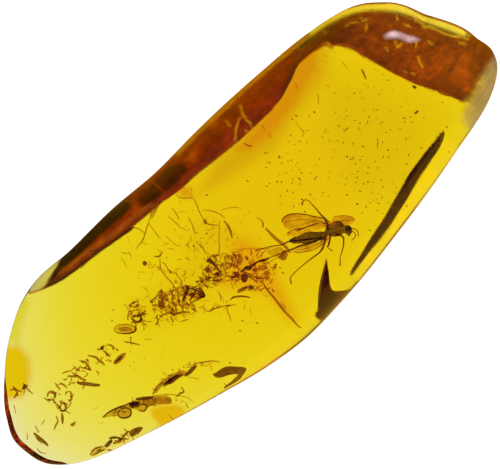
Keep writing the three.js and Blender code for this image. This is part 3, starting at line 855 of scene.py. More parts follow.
def keepSkinNumbers(mesh):  # what the finish reads
    flat = np.empty(len(mesh.vertices) * 3)
    mesh.vertices.foreach_get("co", flat)
    places = flat.reshape(-1, 3) / mm
    x, y, z = places.T
    under = z < rimHeight(roundStone(x, y)[0]) + stone["rimSlack"]
    painted = bareSkin(len(places))
    painted[under] = paintCrustAndShade(places[under], mesh)
    paleCoat = crustAndShade["paleCoat"]
    depth = outlineDepth(pixelsOver(x[~under], y[~under]), paleCoat["outline"])
    film = [*paleCoat["colour"], paleCoat["frost"], 0, paleCoat["solid"]]
    painted[~under] = coated(painted[~under], depth, paleCoat["blur"], film)
    colour = np.concatenate([painted[:, :3], np.ones((len(places), 1))], 1)
    keepNumbers(mesh, "crustColour", colour, kind="FLOAT_COLOR")
    for column, name in enumerate(("frost", "openness", "solid"), 3):
        keepNumbers(mesh, name, painted[:, column])


def makeStone():
    skin = ringMesh("amber_stone", stoneRings(), (0, 0, 0), (0, 0, float(crownHeight(0, 0))))
    cutChips(skin)
    refineChips(skin)
    keepSkinNumbers(skin.data)
    fitIntoBox(skin, *(np.array(corner) for corner in cadBox))
    return skin


def amberFinish():
    finish = Finish("clearAmber")
    frost = finish.attribute("frost")
    colour = finish.node("ShaderNodeAttribute", {"attribute_name": "crustColour"}, output="Color")
    streaks = finish.ramp(finish.noise(**crustAndShade["grain"]), crustAndShade["grainStops"])
    colour = finish.blend(frost, colour, finish.blend(1.0, colour, streaks, "MULTIPLY"))
    finish.set({"Base Color": colour, "Roughness": frost * crustAndShade["frosted"] + crustAndShade["polished"],
                "IOR": amberIndex, "Transmission Weight": 1.0, "Alpha": 1 - finish.attribute("openness")})

    # the solid, dim brown layer of the crust and of the bevels' painted shade
    bark = finish.node("ShaderNodeBsdfPrincipled", {}, {
        "Base Color": colour, "Roughness": crustAndShade["frosted"], "Specular IOR Level": 0.0})
    inputs = {0: finish.attribute("solid"), 1: Wire(finish, finish.shader.outputs[0]), 2: bark}
    finish.feed(finish.output.inputs["Surface"], finish.node("ShaderNodeMixShader", {}, inputs))

    most = crustAndShade["absorbed"]["blue"]
    shade = (1 - crustAndShade["absorbed"]["red"] / most, 1 - crustAndShade["absorbed"]["green"] / most, 0)
    inside = finish.node("ShaderNodeVolumeAbsorption", {}, {"Color": shade, "Density": most})
    finish.feed(finish.output.inputs["Volume"], inside)
    return finish.material


amber = makeStone()
finishPiece(amber, amberFinish(), "amber", "amber_upper", "amber_lower")
print("stone made:", len(amber.data.polygons), "faces")


# What is sealed in the stone is traced on the photo, and each point is carried through the crown
def landed(pixels, heights):
    return [Vector(place) for place in landings(pixels, np.broadcast_to(heights, len(pixels)))]


# Threads: tapered strands along traced lines
def makeThreadRecipe():
    recipe = Recipe("threadRecipe", {"Step": "Float", "Sides": "Int", "Flatness": "Float"})
    lines = recipe.node("GeometryNodeMeshToCurve", {}, {"Mesh": recipe.given("Geometry")})
    lines = recipe.node("GeometryNodeCurveSplineType", {"spline_type": "CATMULL_ROM"}, {"Curve": lines})
    inputs = {"Curve": lines, "Length": recipe.given("Step")}
    lines = recipe.node("GeometryNodeResampleCurve", {"mode": "LENGTH"}, inputs)
    inputs = {"Resolution": recipe.given("Sides"), "Radius": 1.0}
    ring = recipe.node("GeometryNodeCurvePrimitiveCircle", {}, inputs)
    squeeze = recipe.node("ShaderNodeCombineXYZ", {}, {"X": recipe.given("Flatness"), "Y": 1.0, "Z": 1.0})
    ring = recipe.node("GeometryNodeTransform", {}, {"Geometry": ring, "Scale": squeeze})
    width = recipe.node("GeometryNodeInputNamedAttribute", {"data_type": "FLOAT"}, {"Name": "halfWidth"})
    inputs = {"Curve": lines, "Profile Curve": ring, "Scale": width, "Fill Caps": True}
    tubes = recipe.node("GeometryNodeCurveToMesh", {}, inputs)
    recipe.close(recipe.node("GeometryNodeSetShadeSmooth", {}, {"Geometry": tubes}))
    return recipe


threadRecipe = makeThreadRecipe()
threads = {
    "step": 0.12,  # mm between the rings of a thread
    "sides": 7,
    "flatness": 0.6,
    "tipShare": 0.55,  # of the width, at a thread's two ends
    "breadth": 1.5,  # of the width drawn along the photo's blurred lines
    "lean": 0.075,  # mm up or down from one point to the next, at the most
}
crumbShape = {"legs": 3, "bend": 0.8, "corners": 7, "raggedness": (0.35, 1.3), "squash": 0.75}


# Lines are (points, half widths, tone)
def threadsPiece(name, lines, material, sides=threads["sides"], flatness=threads["flatness"]):
    points, edges, widths, tones = [], [], [], []
    for route, halfWidths, tone in lines:
        edges += [(len(points) + k, len(points) + k + 1) for k in range(len(route) - 1)]
        points += [tuple(p) for p in route]
        widths += [w * mm for w in halfWidths]
        tones += [tone] * len(route)
    piece = addMesh(name, points, [], edges)
    keepNumbers(piece.data, "halfWidth", widths)
    keepNumbers(piece.data, "tone", tones)
    values = {"Step": threads["step"] * mm, "Sides": sides, "Flatness": flatness, "Material": material}
    threadRecipe.run(piece, values)
    return piece


def tapered(width, count):  # half widths along a thread, thinner towards its ends
    middle = (count - 1) / 2
    half = width / 2 * threads["breadth"]
    return [half * (1 - (1 - threads["tipShare"]) * abs(k / middle - 1) ** 2) for k in range(count)]


def tracedLines(group, dice):  # its lines are name: (width in mm, tone, points on the photo)
    lines = []
    boldness = group.get("boldness", 1)
    for width, tone, pixels in group["lines"].values():
        height = group["height"] + dice.uniform(-group["spread"], group["spread"])
        lean = dice.uniform(-threads["lean"], threads["lean"])
        route = landed(pixels, height + lean * (np.arange(len(pixels)) - len(pixels) / 2))
        lines.append((route, tapered(width * boldness, len(route)), tone))
    return lines


def placeWithin(outline, dice):
    low, high = np.min(outline, 0), np.max(outline, 0)
    while True:
        place = np.array([dice.uniform(*side) for side in zip(low, high)])
        if outlineDepth(place[None], outline)[0] >= 0:
            return place


def looseLines(patches, dice):  # crumbs within outlines on the photo, each a short crooked strand
    lines = {}
    for patch, (outline, count, lengths, widths, tones) in patches.items():
        for k in range(count):
            route = [placeWithin(outline, dice)]
            heading, leg = dice.uniform(0, 2 * math.pi), dice.uniform(*lengths) / crumbShape["legs"]
            for _ in range(crumbShape["legs"]):
                route.append(route[-1] + leg * np.array([math.cos(heading), math.sin(heading)]))
                heading += dice.gauss(0, crumbShape["bend"])
            lines["%s%d" % (patch, k)] = (dice.uniform(*widths), dice.uniform(*tones), route)
    return lines


def looseFlakes(patches, dice):  # ragged crumbs within outlines on the photo
    pieces = {}
    for patch, (outline, count, radii, tones) in patches.items():
        for k in range(count):
            middle = placeWithin(outline, dice)
            radius, turn = dice.uniform(*radii), dice.uniform(0, 2 * math.pi)
            corners = []
            for corner in range(crumbShape["corners"]):
                angle = turn + 2 * math.pi * corner / crumbShape["corners"]
                reach = radius * dice.uniform(*crumbShape["raggedness"])
                way = np.array([math.cos(angle), crumbShape["squash"] * math.sin(angle)])
                corners.append(middle + reach * way)
            pieces["%sFlake%d" % (patch, k)] = (dice.uniform(*tones), corners)
    return pieces


# Flakes: thin plates with traced outlines
flakes = {
    "thickness": 0.09,
    "cornerSteps": 3,
    "tilt": 0.2,  # mm of rise in one mm, at the most
}


def smoothOutline(corners):  # runs smoothly through the corners
    count, fine = len(corners), []
    for k in range(count):
        before, start, end, after = (corners[(k + j) % count] for j in (-1, 0, 1, 2))
        for step in range(flakes["cornerSteps"]):
            t = step / flakes["cornerSteps"]
            bend = 2 * before - 5 * start + 4 * end - after
            twist = 3 * start - before - 3 * end + after
            fine.append(0.5 * (2 * start + (end - before) * t + bend * t**2 + twist * t**3))
    return fine


def plateFaces(first, count):  # between a lower outline from a point on and the upper one that follows it
    low, high = range(first, first + count), range(first + count, first + 2 * count)
    sides = [(low[k], low[(k + 1) % count], high[(k + 1) % count], high[k]) for k in range(count)]
    return [tuple(reversed(low)), tuple(high), *sides]


def flakesPiece(name, group, dice):  # its flakes are name: (tone, corners on the photo)
    points, faces, tones = [], [], []
    for tone, pixels in group["flakes"].values():
        height = group["height"] + dice.uniform(-group["spread"], group["spread"])
        steepest = flakes["tilt"]
        tilt = Vector((dice.uniform(-steepest, steepest), dice.uniform(-steepest, steepest), 0))
        outline = smoothOutline(landed(pixels, height))
        middle = sum(outline, Vector()) / len(outline)
        faces += plateFaces(len(points), len(outline))
        for side in (-flakes["thickness"] / 2, flakes["thickness"] / 2):
            points += [p + Vector((0, 0, (p - middle).dot(tilt) + side)) for p in outline]
            tones += [tone] * len(outline)
    piece = addMesh(name, points, faces, smooth=False)
    keepNumbers(piece.data, "tone", tones)
    faceOutwards(piece)
    return piece


plantLook = {
    "stops": [(0.0, (0.22, 0.1, 0.002)), (0.45, (0.6, 0.31, 0.008)), (1.0, (0.94, 0.74, 0.18))],
    "through": 0.9,  # how much of its light comes through it
    "index": 1.01,  # against the amber round it
    "roughness": 0.6,
    "grain": 0.28,  # mm
    "unevenness": 0.9,
}


def makePlantFinish():  # tone runs from dark to light
    finish = Finish("plantDebris")
    grain = finish.noise(plantLook["grain"])
    tone = finish.attribute("tone") + (grain - 0.5) * plantLook["unevenness"]
    finish.set({"Base Color": finish.ramp(tone, plantLook["stops"]), "Roughness": plantLook["roughness"],
                "Transmission Weight": plantLook["through"], "IOR": plantLook["index"]})
    return finish.material


plantFinish = makePlantFinish()


# The insect, in its own frame in mm: x towards the head, y towards the upper wings, z towards the crown
insect = {
    "place": (4.83, -2.94, 3.4),
    "shrink": (0.98, 0.87, 0.95),  # the crown enlarges what is seen through it by the inverse of this
    "lean": math.radians(10),
    "body": [  # centre, then half sizes
        ((0, 0, 0), (0.64, 0.5, 0.45)),  # thorax
        ((0.1, 0.24, 0.12), (0.42, 0.3, 0.3)),  # hump of the back
        ((0.58, 0.0, 0), (0.3, 0.27, 0.24)),  # neck
        ((0.84, -0.06, 0), (0.25, 0.33, 0.28)),  # head
        ((0.84, 0.0, 0.2), (0.17, 0.2, 0.13)),  # eyes
        ((0.84, 0.0, -0.2), (0.17, 0.2, 0.13)),
        ((0.88, -0.36, 0), (0.08, 0.14, 0.09)),  # mouth parts
        ((-0.6, -0.28, 0), (0.26, 0.17, 0.17)),  # waist
        ((-1.0, -0.46, 0), (0.42, 0.32, 0.3)),  # abdomen
        ((-1.6, -0.58, 0), (0.75, 0.42, 0.36)),
        ((-2.25, -0.7, 0), (0.62, 0.27, 0.26)),
    ],
    "ballDivisions": 4,
    "voxel": 0.028,
    "softenShare": 0.5,
    "softenRounds": 4,
    "segment": 0.34,  # length of a ring of the abdomen
    "groove": 0.03,
    "grooveSharpness": 16,
    "grooved": (0.8, 1.0),  # behind the middle, between which the grooves start
    "backAcross": (0.1, 0.4),  # the pale back, towards its upper side and towards its rear
    "backAlong": (-0.3, 0.2),
    "legs": {  # points from hip to foot
        "midUpper": [
            (-0.43, -0.09, 0.3), (-0.46, 0.26, 0.45), (-0.65, 0.69, 0.3), (-0.87, 0.91, 0.15),
            (-1.17, 1.3, 0), (-1.43, 1.61, -0.1), (-1.69, 1.87, -0.15), (-1.87, 1.92, -0.15),
            (-2.04, 1.78, -0.1), (-2.06, 1.58, -0.1)],
        "midLower": [
            (-0.6, -0.3, 0), (-0.65, -0.87, 0.05), (-0.78, -1.3, 0.05), (-1.0, -1.61, 0),
            (-1.52, -2.04, 0), (-1.78, -2.26, -0.05), (-2.26, -2.69, -0.1), (-2.73, -3.25, -0.1),
            (-2.76, -3.56, -0.1), (-2.71, -3.77, -0.1)],
        "frontLower": [
            (0.0, -0.3, 0.1), (0.48, -0.5, 0.15), (0.56, -0.61, 0.15), (0.56, -1.13, 0.1),
            (0.43, -1.65, 0), (0.35, -1.91, 0), (0.35, -2.3, -0.05), (0.35, -2.52, -0.05)],
        "frontFolded": [
            (-0.3, -0.3, -0.2), (-0.43, -1.0, -0.25), (-0.52, -1.17, -0.2), (-0.35, -1.34, -0.2),
            (-0.2, -1.47, -0.2)],
        "hindNear": [
            (-0.74, -0.55, 0.1), (-1.43, -0.91, 0.15), (-2.04, -1.08, 0.15), (-2.65, -1.34, 0.12),
            (-3.12, -1.54, 0.1), (-3.9, -1.86, 0), (-4.7, -2.17, -0.1), (-5.1, -2.4, -0.1)],
        "hindFar": [
            (-0.9, -0.55, -0.2), (-2.2, -0.72, -0.25), (-2.86, -0.8, -0.2), (-3.3, -1.04, -0.15),
            (-3.9, -1.13, -0.1), (-4.47, -1.28, -0.1), (-5.0, -1.45, -0.1)],
    },
    "legRadii": (0.055, 0.066, 0.042, 0.03, 0.028, 0.05),  # hip, thigh, shin, ankle, foot, claws
    "eye": (0.88, 0.02, 0.2),
    "eyeReach": (0.26, 0.2),
    "feelers": [
        [
            (0.98, -0.02, 0.12), (1.18, 0.01, 0.16), (1.36, -0.04, 0.18), (1.5, -0.22, 0.16),
            (1.55, -0.52, 0.1)],
        [
            (0.98, -0.1, -0.1), (1.16, -0.16, -0.12), (1.28, -0.32, -0.12), (1.26, -0.56, -0.1),
            (1.04, -0.76, -0.08)],
    ],
    "feelerRadius": 0.03,
    "wings": {  # height, outline
        "fore": (0.32, [
            (-0.3, 0.42), (-0.69, 0.66), (-1.43, 0.82), (-1.87, 0.95), (-2.39, 1.02), (-2.91, 0.93),
            (-3.21, 0.74), (-3.34, 0.5), (-3.17, 0.13), (-2.86, -0.04), (-2.39, -0.13), (-1.87, 0.09),
            (-1.17, 0.36), (-0.5, 0.3)]),
        "hind": (0.1, [
            (-0.2, 0.3), (-0.65, 0.34), (-1.17, 0.3), (-1.87, 0.12), (-2.5, 0.02), (-2.97, -0.2),
            (-2.97, -0.42), (-2.5, -0.48), (-1.7, -0.2), (-0.9, 0.02)]),
        "low": (-0.24, [
            (-0.5, -0.3), (-0.9, -0.8), (-1.43, -1.0), (-2.04, -1.08), (-2.65, -1.3), (-2.8, -1.46),
            (-2.5, -1.6), (-1.69, -1.5), (-1.1, -1.26), (-0.6, -0.9), (-0.3, -0.4)]),
        "right": (-0.3, [
            (-0.3, 0.4), (-0.13, 0.85), (0.3, 0.92), (0.82, 0.91), (1.13, 0.8), (1.22, 0.62), (1.05, 0.4),
            (0.6, 0.25), (0.1, 0.2)]),
    },
    "wingHalf": 0.018,  # of its thickness
    "veinHeight": 0.03,  # over the wing's middle
    "limbShape": {"sides": 8, "flatness": 1.0},
    "veinShape": {"sides": 5},
    "veins": [  # wing, half width, points
        ("fore", 0.06, [
            (-0.3, 0.42), (-0.69, 0.68), (-1.43, 0.84), (-1.87, 0.96), (-2.39, 1.02), (-2.91, 0.93),
            (-3.21, 0.74), (-3.32, 0.5)]),
        ("fore", 0.055, [(-0.4, 0.3), (-0.8, 0.38), (-1.17, 0.34), (-1.87, 0.08), (-2.39, -0.13)]),
        ("fore", 0.025, [(-0.5, 0.4), (-1.3, 0.55), (-2.2, 0.62), (-3.2, 0.4)]),
        ("fore", 0.02, [(-1.3, 0.55), (-2.0, 0.3), (-2.8, 0.1)]),
        ("hind", 0.03, [(-0.3, 0.2), (-1.17, 0.28), (-1.87, 0.1), (-2.5, 0.0), (-2.95, -0.25)]),
        ("low", 0.035, [(-0.5, -0.35), (-0.9, -0.82), (-1.43, -1.02), (-2.04, -1.1), (-2.75, -1.4)]),
        ("low", 0.03, [(-0.5, -0.6), (-1.1, -1.2), (-1.69, -1.48), (-2.5, -1.58)]),
        ("low", 0.02, [(-0.6, -0.5), (-1.4, -1.15), (-2.4, -1.4)]),
        ("right", 0.03, [(-0.1, 0.85), (0.3, 0.92), (0.82, 0.91), (1.13, 0.8), (1.22, 0.62)]),
        ("right", 0.02, [(0.0, 0.5), (0.5, 0.6), (1.15, 0.65)]),
    ],
}
insectPose = (Matrix.Translation(insect["place"]) @ Matrix.Diagonal((*insect["shrink"], 1))
              @ Matrix.Rotation(-photo["tilt"], 4, "Z"))


def posed(points):
    return [insectPose @ Vector(p) for p in points]


def insectBody():
    form = bmesh.new()
    for centre, half in insect["body"]:
        turn = Matrix.Rotation(insect["lean"], 4, "Z")
        pose = Matrix.Translation(centre) @ turn @ Matrix.Diagonal((*half, 1))
        bmesh.ops.create_icosphere(form, subdivisions=insect["ballDivisions"], radius=1, matrix=pose)
    mesh = bpy.data.meshes.new("insect_body")
    form.to_mesh(mesh)
    form.free()
    body = linked("insect_body", mesh)
    merge = body.modifiers.new("merge", "REMESH")
    merge.mode = "VOXEL"
    merge.voxel_size = insect["voxel"]
    soften = body.modifiers.new("soften", "SMOOTH")
    soften.factor, soften.iterations = insect["softenShare"], insect["softenRounds"]
    applyModifiers(body)
    form = bmesh.new()
    form.from_mesh(body.data)
    form.normal_update()
    for vertex in form.verts:  # the rings of the abdomen
        ring = math.cos(math.pi * vertex.co.x / insect["segment"]) ** insect["grooveSharpness"]
        on = float(smoothStep(-vertex.co.x, *insect["grooved"]))
        vertex.co -= vertex.normal * insect["groove"] * ring * on
    form.to_mesh(body.data)
    form.free()
    places = np.array([v.co for v in body.data.vertices])
    upper = smoothStep(places[:, 1], *insect["backAcross"])
    keepNumbers(body.data, "back", upper * smoothStep(-places[:, 0], *insect["backAlong"]))
    away = np.linalg.norm(places - insect["eye"], axis=1)
    keepNumbers(body.data, "eye", smoothStep(away, *insect["eyeReach"]))
    body.data.transform(Matrix.Scale(mm, 4) @ insectPose)
    body.data.polygons.foreach_set("use_smooth", [True] * len(body.data.polygons))
    return body


def insectLimbs(material):
    lines = []
    for route in insect["legs"].values():
        share = np.linspace(0, 1, len(route))
        radii = np.interp(share, np.linspace(0, 1, len(insect["legRadii"])), insect["legRadii"])
        lines.append((posed(route), radii, 0.0))
    for route in insect["feelers"]:
        lines.append((posed(route), [insect["feelerRadius"]] * len(route), 0.0))
    return threadsPiece("insect_limbs", lines, material, **insect["limbShape"])


def insectWings():
    points, faces = [], []
    for height, corners in insect["wings"].values():
        outline = smoothOutline([Vector((*corner, height)) for corner in corners])
        faces += plateFaces(len(points), len(outline))
        for side in (-insect["wingHalf"], insect["wingHalf"]):
            points += posed([p + Vector((0, 0, side)) for p in outline])
    wings = addMesh("insect_wings", points, faces, smooth=False)
    faceOutwards(wings)
    return wings


def wingVeins(material):
    lines = []
    for wing, half, route in insect["veins"]:
        height = insect["wings"][wing][0] + insect["veinHeight"]
        lines.append((posed([(x, y, height) for x, y in route]), [half] * len(route), 0.0))
    return threadsPiece("insect_veins", lines, material, **insect["veinShape"])


chitin = {  # colours from dark to light, how much light comes through, grain in mm
    "body": ([(0.38, (0.14, 0.08, 0.002)), (0.62, (0.33, 0.2, 0.004))], 0.85, 0.25),
    "leg": ([(0.35, (0.2, 0.08, 0.003)), (0.65, (0.42, 0.19, 0.005))], 0.8, 0.25),
    "wing": ([(0.38, (0.76, 0.42, 0.02)), (0.62, (0.97, 0.78, 0.4))], 0.95, 0.5),
    "vein": ([(0.4, (0.16, 0.03, 0.001)), (0.6, (0.4, 0.12, 0.003))], 0.85, 0.25),
}
insectMarks = {
    "back": (0.7, 0.36, 0.01),
    "backShare": 0.8,
    "eye": (0.02, 0.006, 0.001),
    "roughness": 0.4,
}


def chitinFinish(part):  # old chitin lets light through
    stops, through, grain = chitin[part]
    finish = Finish(part + "Chitin")
    colour = finish.ramp(finish.noise(grain), stops)
    if part == "body":
        back = finish.attribute("back") * insectMarks["backShare"]
        colour = finish.blend(back, colour, insectMarks["back"])
        colour = finish.blend(finish.attribute("eye"), colour, insectMarks["eye"])
    finish.set({"Base Color": colour, "Roughness": insectMarks["roughness"],
                "Transmission Weight": through, "IOR": plantLook["index"]})
    return finish.material


body, legFinish, veinFinish = insectBody(), chitinFinish("leg"), chitinFinish("vein")
finishPiece(body, chitinFinish("body"), "insect", "winged_insect")
finishPiece(insectLimbs(legFinish), legFinish, "insect")
finishPiece(insectWings(), chitinFinish("wing"), "insect")
finishPiece(wingVeins(veinFinish), veinFinish, "insect")
print("insect made:", len(body.data.polygons), "faces in its body")


# Plant debris along the middle of the stone, in a seam
seam = {
    "height": 2.6,
    "spread": 0.3,
    "lines": {  # name: width in mm, tone from dark to light, points on the photo
        "hook": (0.15, 0.3, [(138, 301), (133, 303), (129, 306), (132, 306.5)]),
        "hookLeg": (0.1, 0.3, [(138.5, 304), (139, 308)]),
        "ring": (0.18, 0.1, [
            (132, 317), (138, 316), (141, 317), (141, 320), (138, 322), (134, 321), (131.5, 318)]),
        "ringArc": (0.1, 0.4, [(131, 310), (129, 312), (128, 315), (127.5, 318), (128.5, 320.5)]),
        "ringStem": (0.14, 0.2, [(140, 316), (144, 312), (146, 310.5)]),
        "ringBar": (0.1, 0.3, [(133, 311), (137, 310), (139, 311)]),
        "thinArc": (0.08, 0.5, [(142, 319), (146, 321.5), (152, 321.5)]),
        "thinLeg": (0.08, 0.5, [(140.5, 321), (144, 324), (147, 325)]),
        "claw": (0.14, 0.2, [(156, 316), (158, 320), (157, 323.5), (155.5, 325)]),
        "clawLeg": (0.1, 0.2, [(157.5, 323), (160, 327)]),
        "clawArm": (0.1, 0.3, [(159, 319), (161, 321)]),
        "twig": (0.1, 0.4, [(152, 300), (156, 297), (158, 294.5)]),
        "wisp": (0.05, 0.8, [(142, 301), (146, 297), (150, 295)]),
        "bendA": (0.2, 0.4, [(170, 291), (173, 296), (172, 301), (175, 306)]),
        "bendB": (0.14, 0.4, [(177, 290), (178, 296), (179, 303), (182, 307), (184, 308)]),
        "darkCore": (0.27, 0.0, [(186, 286), (188, 289), (186, 293), (184, 298), (182.5, 301)]),
        "darkArmA": (0.14, 0.1, [(188, 289.5), (193, 288), (197, 286)]),
        "darkArmB": (0.12, 0.1, [(190, 291), (195, 289.5), (200, 288)]),
        "loop": (0.14, 0.2, [
            (192, 299), (191, 296), (194, 292), (198, 290.5), (202, 291), (204.5, 296), (200, 298),
            (196, 300.5), (193, 301.5)]),
        "loopTail": (0.1, 0.4, [(194, 301.5), (190, 304), (188.5, 307)]),
        "bar": (0.15, 0.3, [
            (160, 316.5), (165, 314), (170, 313), (175, 314.5), (180, 312.5), (185, 312), (190, 312.5)]),
        "barStem": (0.14, 0.3, [(168, 304), (171, 308), (173, 312)]),
        "barLeg": (0.1, 0.4, [(170, 316), (172, 319.5), (173.5, 322.5)]),
        "barSpur": (0.1, 0.4, [(183, 315), (185, 318)]),
        "underBar": (0.09, 0.5, [(180, 322), (184, 320.5), (188.5, 319)]),
        "slant": (0.1, 0.4, [(190, 308), (194, 309.5), (197, 312.5)]),
        "starA": (0.14, 0.2, [(205, 276), (207, 280), (211, 277)]),
        "starB": (0.12, 0.2, [(195, 282), (200, 281), (203, 284), (205, 286)]),
        "starC": (0.1, 0.2, [(207, 281), (214, 281)]),
        "starD": (0.1, 0.2, [(204, 284), (207, 287), (208, 289)]),
        "starE": (0.1, 0.3, [(209, 286), (213, 288)]),
        "starF": (0.1, 0.3, [(211, 278), (217, 277), (220, 271)]),
        "rightStem": (0.14, 0.3, [(235, 255), (237, 260), (239, 264)]),
        "redBar": (0.14, 0.5, [(236, 266.5), (239, 269.5)]),
        "coreArm": (0.14, 0.1, [(241, 272), (245, 268), (250, 267)]),
        "coreSpine": (0.12, 0.1, [(250, 264), (251, 270)]),
        "bridge": (0.14, 0.2, [(250, 268), (254, 264), (260, 260.5)]),
        "seedStem": (0.18, 0.1, [(260, 260.5), (264, 260), (269, 258.5)]),
        "rayA": (0.12, 0.5, [(265, 268), (270, 270.5)]),
        "rayB": (0.12, 0.5, [(266, 271), (271, 275)]),
        "rungA": (0.14, 0.3, [(229, 276.5), (234, 277), (240, 276)]),
        "rungB": (0.09, 0.4, [(234, 275), (238, 274.5), (241, 276)]),
        "stemA": (0.14, 0.3, [(243, 270), (248, 276), (253, 279), (258, 283)]),
        "stemB": (0.12, 0.3, [(246, 272), (252, 276), (258, 278.5), (262, 278)]),
        "redKnot": (0.14, 0.6, [(259, 282), (262, 283), (263, 279), (266, 278), (269, 280.5)]),
        "sickle": (0.15, 0.1, [(230.5, 300), (233, 297.5), (238, 296.5), (244, 296.5), (250, 297.5)]),
        "twigLong": (0.12, 0.5, [
            (205, 310), (209, 311.5), (213, 309.5), (218, 307.5), (225, 306), (230, 305.5),
            (236, 304.5)]),
        "barbA": (0.08, 0.4, [(212, 307), (213, 310)]),
        "barbB": (0.08, 0.4, [(215, 305), (218, 308)]),
        "dropA": (0.09, 0.4, [(218, 291.5), (220, 294.5), (221, 298), (220.5, 301)]),
        "dropB": (0.08, 0.5, [(222, 297), (224, 303)]),
        "dropC": (0.09, 0.5, [(227.5, 308), (228, 313), (230, 317), (231, 321.5)]),
        "tickA": (0.09, 0.3, [(244.5, 305), (245, 308)]),
        "tickB": (0.07, 0.5, [(250, 307), (251, 315)]),
        "tickC": (0.09, 0.4, [(231, 282), (233.5, 289)]),
        "tickD": (0.08, 0.4, [(234, 283), (236.5, 286)]),
        "tickE": (0.09, 0.3, [(256, 288), (262, 285)]),
        "tickF": (0.08, 0.4, [(260, 292), (262, 289), (266, 287.5)]),
        "wispB": (0.05, 0.8, [(262, 294), (266, 296.5), (270, 295.5)]),
    },
    "flakes": {  # name: tone, corners on the photo
        "bean": (0.65, [
            (157, 296), (160, 293), (164, 292), (167, 294), (169, 298), (168, 301), (161, 300)]),
        "lobe": (0.35, [(158, 300), (163, 301), (165, 303), (164, 308), (161.5, 310), (159, 308)]),
        "blotA": (0.2, [(150, 300), (153, 300), (153, 303), (150.5, 303)]),
        "triangle": (0.0, [(198, 291), (203, 292), (205, 297), (200, 297)]),
        "knot": (0.0, [(205, 268), (209, 268), (209.5, 271), (206, 272.5)]),
        "knotB": (0.1, [(215, 272.5), (218, 272.5), (218.5, 275), (215.5, 275.5)]),
        "leafA": (0.5, [(239, 256), (243, 258), (242, 263), (240, 265.5), (238, 262)]),
        "leafB": (0.3, [(245, 256), (247, 256.5), (248.5, 260), (246.5, 260)]),
        "core": (0.1, [(244, 268), (246, 266), (250, 265.5), (252, 267), (250, 270), (246, 270.5)]),
        "redCore": (0.6, [(258, 266), (262, 265), (267, 266.5), (266, 269.5), (262, 271), (259, 269)]),
        "redTri": (0.3, [(230, 278), (233, 276), (233, 281)]),
        "darkLeaf": (0.0, [(241, 275), (246, 273), (248, 278), (246, 282), (243, 282.5), (241, 279)]),
        "lowLeaf": (0.2, [(237.5, 293), (238, 290), (242, 287.5), (246, 286.5), (245, 290), (241, 292)]),
        "oval": (0.0, [(249.5, 286), (252, 285.5), (254, 287.5), (253, 289.5), (250, 289.5)]),
    },
}
splinter = {  # a long thin needle that points down from the seam
    "height": 3.0,
    "spread": 0.0,
    "lines": {
        "needle": (0.17, 0.35, [
            (263, 283), (266, 288), (269, 292), (275, 299), (281, 307), (287, 314), (293, 320), (297, 325),
            (301, 328)]),
        "glint": (0.2, 1.0, [(280.5, 302), (283, 305), (286, 309)]),
        "knot": (0.2, 0.2, [(272, 289.5), (274, 292)]),
    },
}
husk = {  # the dark boat-shaped husk beside the seam
    "height": 2.3,
    "spread": 0.0,
    "flakes": {
        "shell": (0.45, [
            (113, 363), (117, 357), (122, 353.5), (126, 353), (124, 358), (119, 363), (115, 364.5)]),
    },
    "lines": {
        "core": (0.2, 0.0, [(115, 362.5), (118.5, 359), (122.5, 356)]),
    },
}
trail = {  # crumbs towards the thin end
    "height": 2.0,
    "spread": 0.25,
    "boldness": 1.35,
    "lines": {
        "barTop": (0.15, 0.3, [(68, 376), (73, 376.2), (78, 376.5), (82, 379), (86, 380)]),
        "forkA": (0.1, 0.4, [(62, 373.5), (67, 371.5), (71, 371)]),
        "forkB": (0.1, 0.4, [(71, 371), (75, 367.5), (77, 369.5), (80, 371)]),
        "forkC": (0.1, 0.4, [(75, 372), (78, 376)]),
        "arcA": (0.14, 0.3, [(81, 361), (85, 362), (88, 366), (90, 370)]),
        "arcB": (0.12, 0.4, [(81, 367.5), (86, 368.5), (92, 370.5)]),
        "boat": (0.22, 0.1, [(77, 382.5), (82, 383.5), (88, 384), (95, 385), (100, 385)]),
        "arcC": (0.14, 0.3, [(88, 355.5), (93, 356.5), (97, 358), (99, 361), (103, 363)]),
        "arcD": (0.14, 0.3, [(97, 349), (100, 349.5), (102, 347), (104, 345.5)]),
        "arcE": (0.12, 0.4, [(102, 349), (106, 353), (110, 357)]),
        "arcF": (0.12, 0.4, [(108, 344), (112, 346), (115, 348.5)]),
        "dashA": (0.1, 0.4, [(124, 341.5), (132, 343), (140, 345)]),
        "dashB": (0.08, 0.5, [(145, 339), (152, 339.5)]),
        "tickA": (0.12, 0.4, [(55, 383), (58, 387), (60.5, 390)]),
        "tickB": (0.12, 0.4, [(60, 383), (64, 385), (67, 388)]),
        "stick": (0.13, 0.3, [(70, 391), (71.5, 395), (71, 400), (68, 400.5)]),
        "faint": (0.07, 0.8, [(94, 408.5), (98, 407.5)]),
    },
    "flakes": {
        "knot": (0.1, [(100.5, 347), (103, 346.5), (103.5, 349), (101, 349.5)]),
    },
}
